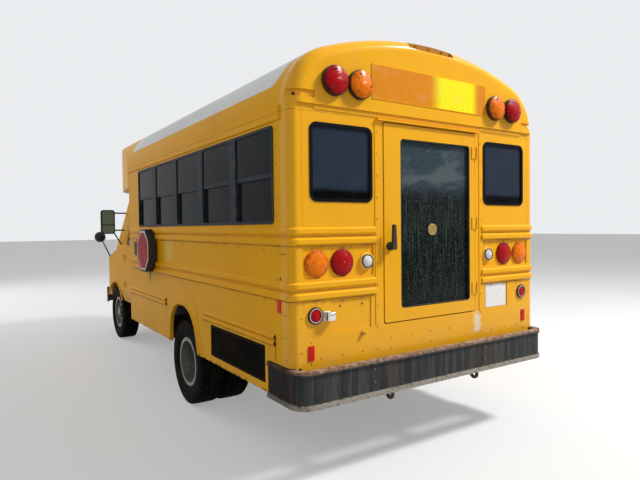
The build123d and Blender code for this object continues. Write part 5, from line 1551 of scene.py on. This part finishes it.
def add_pad(name, low, high, out, channels):
    """A crowned pad between two corners. out is the axis it bulges along, channels its seams."""
    low, high = Vector(low), Vector(high)
    piece = slab(name, low, high)
    bevel_all(piece, 0.022, 3)
    take(piece)
    bpy.ops.object.mode_set(mode="EDIT")
    bpy.ops.mesh.select_all(action="SELECT")
    bpy.ops.mesh.subdivide(number_cuts=9, smoothness=0)
    bpy.ops.object.mode_set(mode="OBJECT")
    centre, half = (low + high) / 2, (high - low) / 2
    flat = [axis for axis in range(3) if axis != out]
    for corner in piece.data.vertices:
        away = [(corner.co[axis] - centre[axis]) / half[axis] for axis in range(3)]
        full = 1.0
        for axis in flat:
            full *= max(0.0, 1 - abs(away[axis]) ** 2.6)
        shrink = PAD_CROWN * (1 - full)
        for seam in channels:
            gap = (away[flat[0]] - seam) * half[flat[0]]
            shrink += SEAM_SINK * math.exp(-((gap / SEAM_HALF) ** 2)) * (full > 0.02)
        corner.co[out] = centre[out] + away[out] * (half[out] - shrink)
        for axis in flat:
            waist = PAD_WAIST * (1 - away[flat[0] if axis == flat[1] else flat[1]] ** 2)
            corner.co[axis] = centre[axis] + away[axis] * (half[axis] - PAD_GAP - waist)
    return piece


print("pad recipe ready")

# %% Benches
FLOOR_TOP = 0.930
BENCH_X = (0.230, HALF - 0.065)
BENCH_ROWS = [REAR_Y - 0.650 - 0.760 * number for number in range(4)]
BENCH_CHANNELS = (-0.34, 0.34)
SEAT_LOW = FLOOR_TOP + 0.330


def add_bench(row_number, side, y):
    x = sorted((side * BENCH_X[0], side * BENCH_X[1]))
    word = f"{'left' if side > 0 else 'right'}_{row_number}"
    low, high = (x[0], y - 0.400, SEAT_LOW), (x[1], y, SEAT_LOW + 0.120)
    cushion = add_pad("bench_cushion_" + word, low, high, UPWARD, BENCH_CHANNELS)
    low, high = (x[0], y, SEAT_LOW), (x[1], y + 0.090, FLOOR_TOP + 1.020)
    back = add_pad("bench_back_" + word, low, high, BACKWARD, BENCH_CHANNELS)
    for piece in (cushion, back):
        done(piece, "root", bench_vinyl, smooth=60)
        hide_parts("seats")


for number, y in enumerate(BENCH_ROWS):
    for side in (1, -1):
        add_bench(number + 1, side, y)
print("bench pads modelled:", len(BENCH_ROWS) * 4)

# %% Driver's seat
CAB_FLOOR_TOP = 0.835
DRIVER_Y = BODY_FRONT_Y - 0.180
DRIVER_CHANNELS = (-0.45, 0.45)
DRIVER_LOW = CAB_FLOOR_TOP + 0.330
low, high = (0.380, DRIVER_Y - 0.480, DRIVER_LOW), (0.860, DRIVER_Y, CAB_FLOOR_TOP + 0.440)
driver_cushion = add_pad("driver_cushion", low, high, UPWARD, DRIVER_CHANNELS)
low, high = (0.400, DRIVER_Y, DRIVER_LOW), (0.840, DRIVER_Y + 0.110, CAB_FLOOR_TOP + 1.130)
driver_back = add_pad("driver_back", low, high, BACKWARD, DRIVER_CHANNELS)
for pad in (driver_cushion, driver_back):
    done(pad, "root", driver_vinyl, smooth=60)
    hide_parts("seats")
print("driver's seat modelled:", len(driver_cushion.data.polygons), "faces in its cushion")

# %% [markdown]
# ## Tyres
# A tyre is a section turned about the axle. The section starts as a circle with as many
# corners as the section needs; each corner is moved to its place, and the spin operator turns
# it. Then every third face of the shoulder ribs and of the ribs next to them is picked by its
# place and pushed in, which cuts the side grooves of the tread. The turned form is that of the
# packed tyre, which it replaces, with four grooves round the tread and a bead against the rim.


# %% Tyre section
TYRE_HALF = (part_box("front_left_tyre")[1].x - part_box("front_left_tyre")[0].x) / 2
TWIN_STEP = 0.262
TREAD_GROOVES = (0.068, 0.024)
GROOVE_HALF = 0.0045
GROOVE_DEPTH = 0.010
LUG_DEPTH = 0.007
CROWN_DROP = 0.0022
TREAD_FLOOR_R = TYRE_R - 0.016
SHOULDER_RIB = (0.073, 0.106)
INNER_RIB = (0.030, 0.062)
LUG_PITCH = 3
TYRE_STEPS = 96
# The tyre's wall from the shoulder to the bead: (across, radius).
TYRE_WALL = [
    (0.0960, 0.3845), (0.1030, 0.3790), (0.1080, 0.3660), (0.1120, 0.3520), (0.1158, 0.3360),
    (TYRE_HALF, 0.3150), (0.1165, 0.2900), (0.1125, 0.2650), (0.1060, 0.2440), (0.0990, 0.2310),
    (0.0925, 0.2262), (0.0865, 0.2040),
]


def tread_side():
    """Half the section, from the crown's middle out to the bead: (across, radius)."""
    points = []
    for groove in reversed(TREAD_GROOVES):
        crown = TYRE_R - CROWN_DROP * (groove / 0.1) ** 2
        points.append((groove - GROOVE_HALF, crown))
        points.append((groove - GROOVE_HALF * 0.7, crown - GROOVE_DEPTH))
        points.append((groove + GROOVE_HALF * 0.7, crown - GROOVE_DEPTH))
        points.append((groove + GROOVE_HALF, crown))
    return points + TYRE_WALL


def tyre_section():
    half = tread_side()
    return half + [(-across, radius) for across, radius in reversed(half)]


print("tyre section has", len(tyre_section()), "corners")


# %% Turning a tyre
def add_tyre(name, centre):
    section = tyre_section()
    deselect()
    bpy.ops.mesh.primitive_circle_add(vertices=len(section), radius=0.1, fill_type="NOTHING")
    tyre = named(name)
    for corner, (across, radius) in zip(tyre.data.vertices, section):
        corner.co = (centre.x + across, centre.y, centre.z + radius)
    take(tyre)
    bpy.ops.object.mode_set(mode="EDIT")
    bpy.ops.mesh.select_all(action="SELECT")
    bpy.ops.mesh.spin(steps=TYRE_STEPS, angle=2 * math.pi, center=centre, axis=(1, 0, 0))
    bpy.ops.mesh.select_all(action="SELECT")
    bpy.ops.mesh.remove_doubles(threshold=0.0001)
    bpy.ops.mesh.normals_make_consistent(inside=False)
    bpy.ops.object.mode_set(mode="OBJECT")
    cut_lugs(tyre, centre)
    return tyre


def cut_lugs(tyre, centre):
    """Push in every third face of the shoulder ribs, and of the rib next to them."""
    step = 2 * math.pi / TYRE_STEPS

    def is_slot(middle, normal):
        across = abs(middle.x - centre.x)
        radius = math.hypot(middle.y - centre.y, middle.z - centre.z)
        turn = round(math.atan2(middle.z - centre.z, middle.y - centre.y) / step - 0.5)
        turn += 1 if middle.x > centre.x else 0
        if radius < TREAD_FLOOR_R:
            return False
        outer = SHOULDER_RIB[0] < across < SHOULDER_RIB[1] and turn % LUG_PITCH == 0
        inner = INNER_RIB[0] < across < INNER_RIB[1] and turn % LUG_PITCH == 1
        return outer or inner

    pick_faces(tyre, is_slot)
    bpy.ops.mesh.extrude_region_shrink_fatten(TRANSFORM_OT_shrink_fatten={"value": -LUG_DEPTH})
    bpy.ops.object.mode_set(mode="OBJECT")


print("tyre recipe ready")


# %% Tyre rubber and the six tyres
def tyre_rubber():
    """Black rubber with patches of grey road dust and a fine grain across the tyre."""
    paint = Paint("tyre_rubber_turned")
    worn = paint.ramp(paint.noise(7, 5), 0.40, 0.75)
    shade = paint.mix(rgb(0.007, 0.0065, 0.006), rgb(0.060, 0.050, 0.038), worn * 0.30)
    rings = paint.noise(30, 2, (18, 1, 1))
    paint.set(Base_Color=shade, Roughness=0.72 + worn * 0.15, Normal=paint.bump(rings, 0.12, 0.002))
    paint.set(Specular_IOR_Level=0.04)
    return paint.material


turned_rubber = tyre_rubber()
SINGLE, TWIN = (0,), (-0.5, 0.5)
TYRES = (
    ("front_left_tyre", "front_left_wheel", SINGLE),
    ("front_right_tyre", "front_right_wheel", SINGLE),
    ("rear_left_tyres", "rear_left_wheels", TWIN),
    ("rear_right_tyres", "rear_right_wheels", TWIN),
)
for node, body, sides in TYRES:
    pair = [add_tyre("tyre", middle(node) + X_AXIS * TWIN_STEP * side) for side in sides]
    tyre = joined(node.replace("tyre", "treaded_tyre"), pair)
    done(tyre, body, turned_rubber, smooth=28)
    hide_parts(node)

# %% [markdown]
# ## Wheel nuts
# Eight nuts hold each wheel round its hub. A nut is a six-sided cylinder with an inset end that
# is pulled out. It is modelled at the origin, looking up, and its copies are turned outwards and
# placed round the hub by angle.


# %% Wheel nuts
NUT_DEPTH = 0.022
FRONT_NUT_RING = 0.086
REAR_NUT_RING = 0.100


def wheel_nut():
    deselect()
    bpy.ops.mesh.primitive_cylinder_add(
        vertices=6, radius=0.0135, depth=NUT_DEPTH, location=(0, 0, NUT_DEPTH / 2)
    )
    nut = named("nut_model")
    pick_faces(nut, lambda middle, normal: normal.z > 0.9)
    bpy.ops.mesh.inset(thickness=0.004)
    bpy.ops.transform.translate(value=(0, 0, 0.004))
    bpy.ops.object.mode_set(mode="OBJECT")
    return nut


def add_nuts(name, body, hub, face_x, side, radius):
    places = []
    for number in range(8):
        angle = math.radians(22.5 + 45 * number)
        spot = Vector((face_x, hub.y + radius * math.cos(angle), hub.z + radius * math.sin(angle)))
        places.append(facing_place(spot, Vector((side, 0, 0))))
    return done(repeated(name, wheel_nut(), places), body, nut_steel)


nut_steel = rough_metal("nut_steel", rgb(0.20, 0.17, 0.14), 0.45, 0.7, 0.7)
FRONT_NUT_X = FRONT_AXLE.x + 0.064
REAR_NUT_X = REAR_AXLE.x + TWIN_STEP / 2 - 0.086
for side, word in ((1, "left"), (-1, "right")):
    front_x, rear_x = side * FRONT_NUT_X, side * REAR_NUT_X
    add_nuts(f"front_{word}_nuts", f"front_{word}_wheel", FRONT_AXLE, front_x, side, FRONT_NUT_RING)
    add_nuts(f"rear_{word}_nuts", f"rear_{word}_wheels", REAR_AXLE, rear_x, side, REAR_NUT_RING)
print("wheel nuts added")

# %% [markdown]
# ## Studio
# A pale floor that runs to the horizon, a soft sky and three area lamps. In the photograph the
# light comes high from the bus's right and a little behind it, so it grazes the rear face and
# leaves the left side to the sky: the key lamp stands there. The sky that the camera, the glass
# and the chrome see is a plain pale tone, and the sky that lights the bus is lower than that.


# %% Floor and sky
FLOOR_GLOW = 0.32
SKY_LIGHT = 0.38
SKY_SEEN = 0.86


def seen_ray(tree):
    """1 on rays that the camera, glass or metal sends out, and 0 on those that light the bus."""
    path = tree.nodes.new("ShaderNodeLightPath")
    seen = path.outputs["Is Camera Ray"]
    for ray in ("Is Glossy Ray", "Is Transmission Ray"):
        both = tree.nodes.new("ShaderNodeMath")
        both.operation = "MAXIMUM"
        tree.links.new(seen, both.inputs[0])
        tree.links.new(path.outputs[ray], both.inputs[1])
        seen = both.outputs[0]
    return seen


def add_floor():
    deselect()
    bpy.ops.mesh.primitive_plane_add(size=160, location=(0, 0, -0.001))
    floor = bpy.context.object
    floor.name = "floor_stage"
    paint = Paint("pale_floor")
    paint.set(Base_Color=rgb(0.48, 0.48, 0.47), Roughness=0.9, Specular_IOR_Level=0.0)
    glow = Term(paint, seen_ray(paint.tree)) * FLOOR_GLOW
    paint.set(Emission_Color=rgb(1, 1, 1), Emission_Strength=glow)
    floor.data.materials.append(paint.material)


def add_sky():
    """One tone for the camera and for reflections, and a lower one for the light on the bus."""
    world = bpy.data.worlds.new("studio")
    bpy.context.scene.world = world
    world.use_nodes = True
    tree = world.node_tree
    back = tree.nodes["Background"]
    back.inputs["Color"].default_value = rgb(0.96, 0.98, 1.0)
    level = tree.nodes.new("ShaderNodeMapRange")
    level.inputs["To Min"].default_value = SKY_LIGHT
    level.inputs["To Max"].default_value = SKY_SEEN
    tree.links.new(seen_ray(tree), level.inputs["Value"])
    tree.links.new(level.outputs[0], back.inputs["Strength"])


add_floor()
add_sky()
print("floor and sky ready")

# %% Lamps
KEY_PLACE = (-7.2, REAR_Y + 4.4, 10.4)
KEY_AIM = (0, REAR_Y - 1.0, 1.4)


def add_lamp(name, place, aim, size, watts, shines=True):
    """An area lamp; shines says whether glass and chrome mirror it."""
    data = bpy.data.lights.new(name, "AREA")
    data.shape = "RECTANGLE"
    data.size, data.size_y = size
    data.energy = watts
    lamp = bpy.data.objects.new(name, data)
    bpy.context.collection.objects.link(lamp)
    lamp.visible_glossy = shines
    lamp.location = place
    lamp.rotation_euler = (Vector(aim) - Vector(place)).to_track_quat("-Z", "Y").to_euler()


add_lamp("key", KEY_PLACE, KEY_AIM, (1.8, 1.8), 2050)
add_lamp("fill", (7, 8, 5), (0, 1, 1.2), (7, 5), 90, shines=False)
add_lamp("front", (5, -10, 6), (0, -2, 1.2), (6, 5), 420, shines=False)
bpy.context.scene.view_settings.view_transform = "Standard"
print("lamps ready")
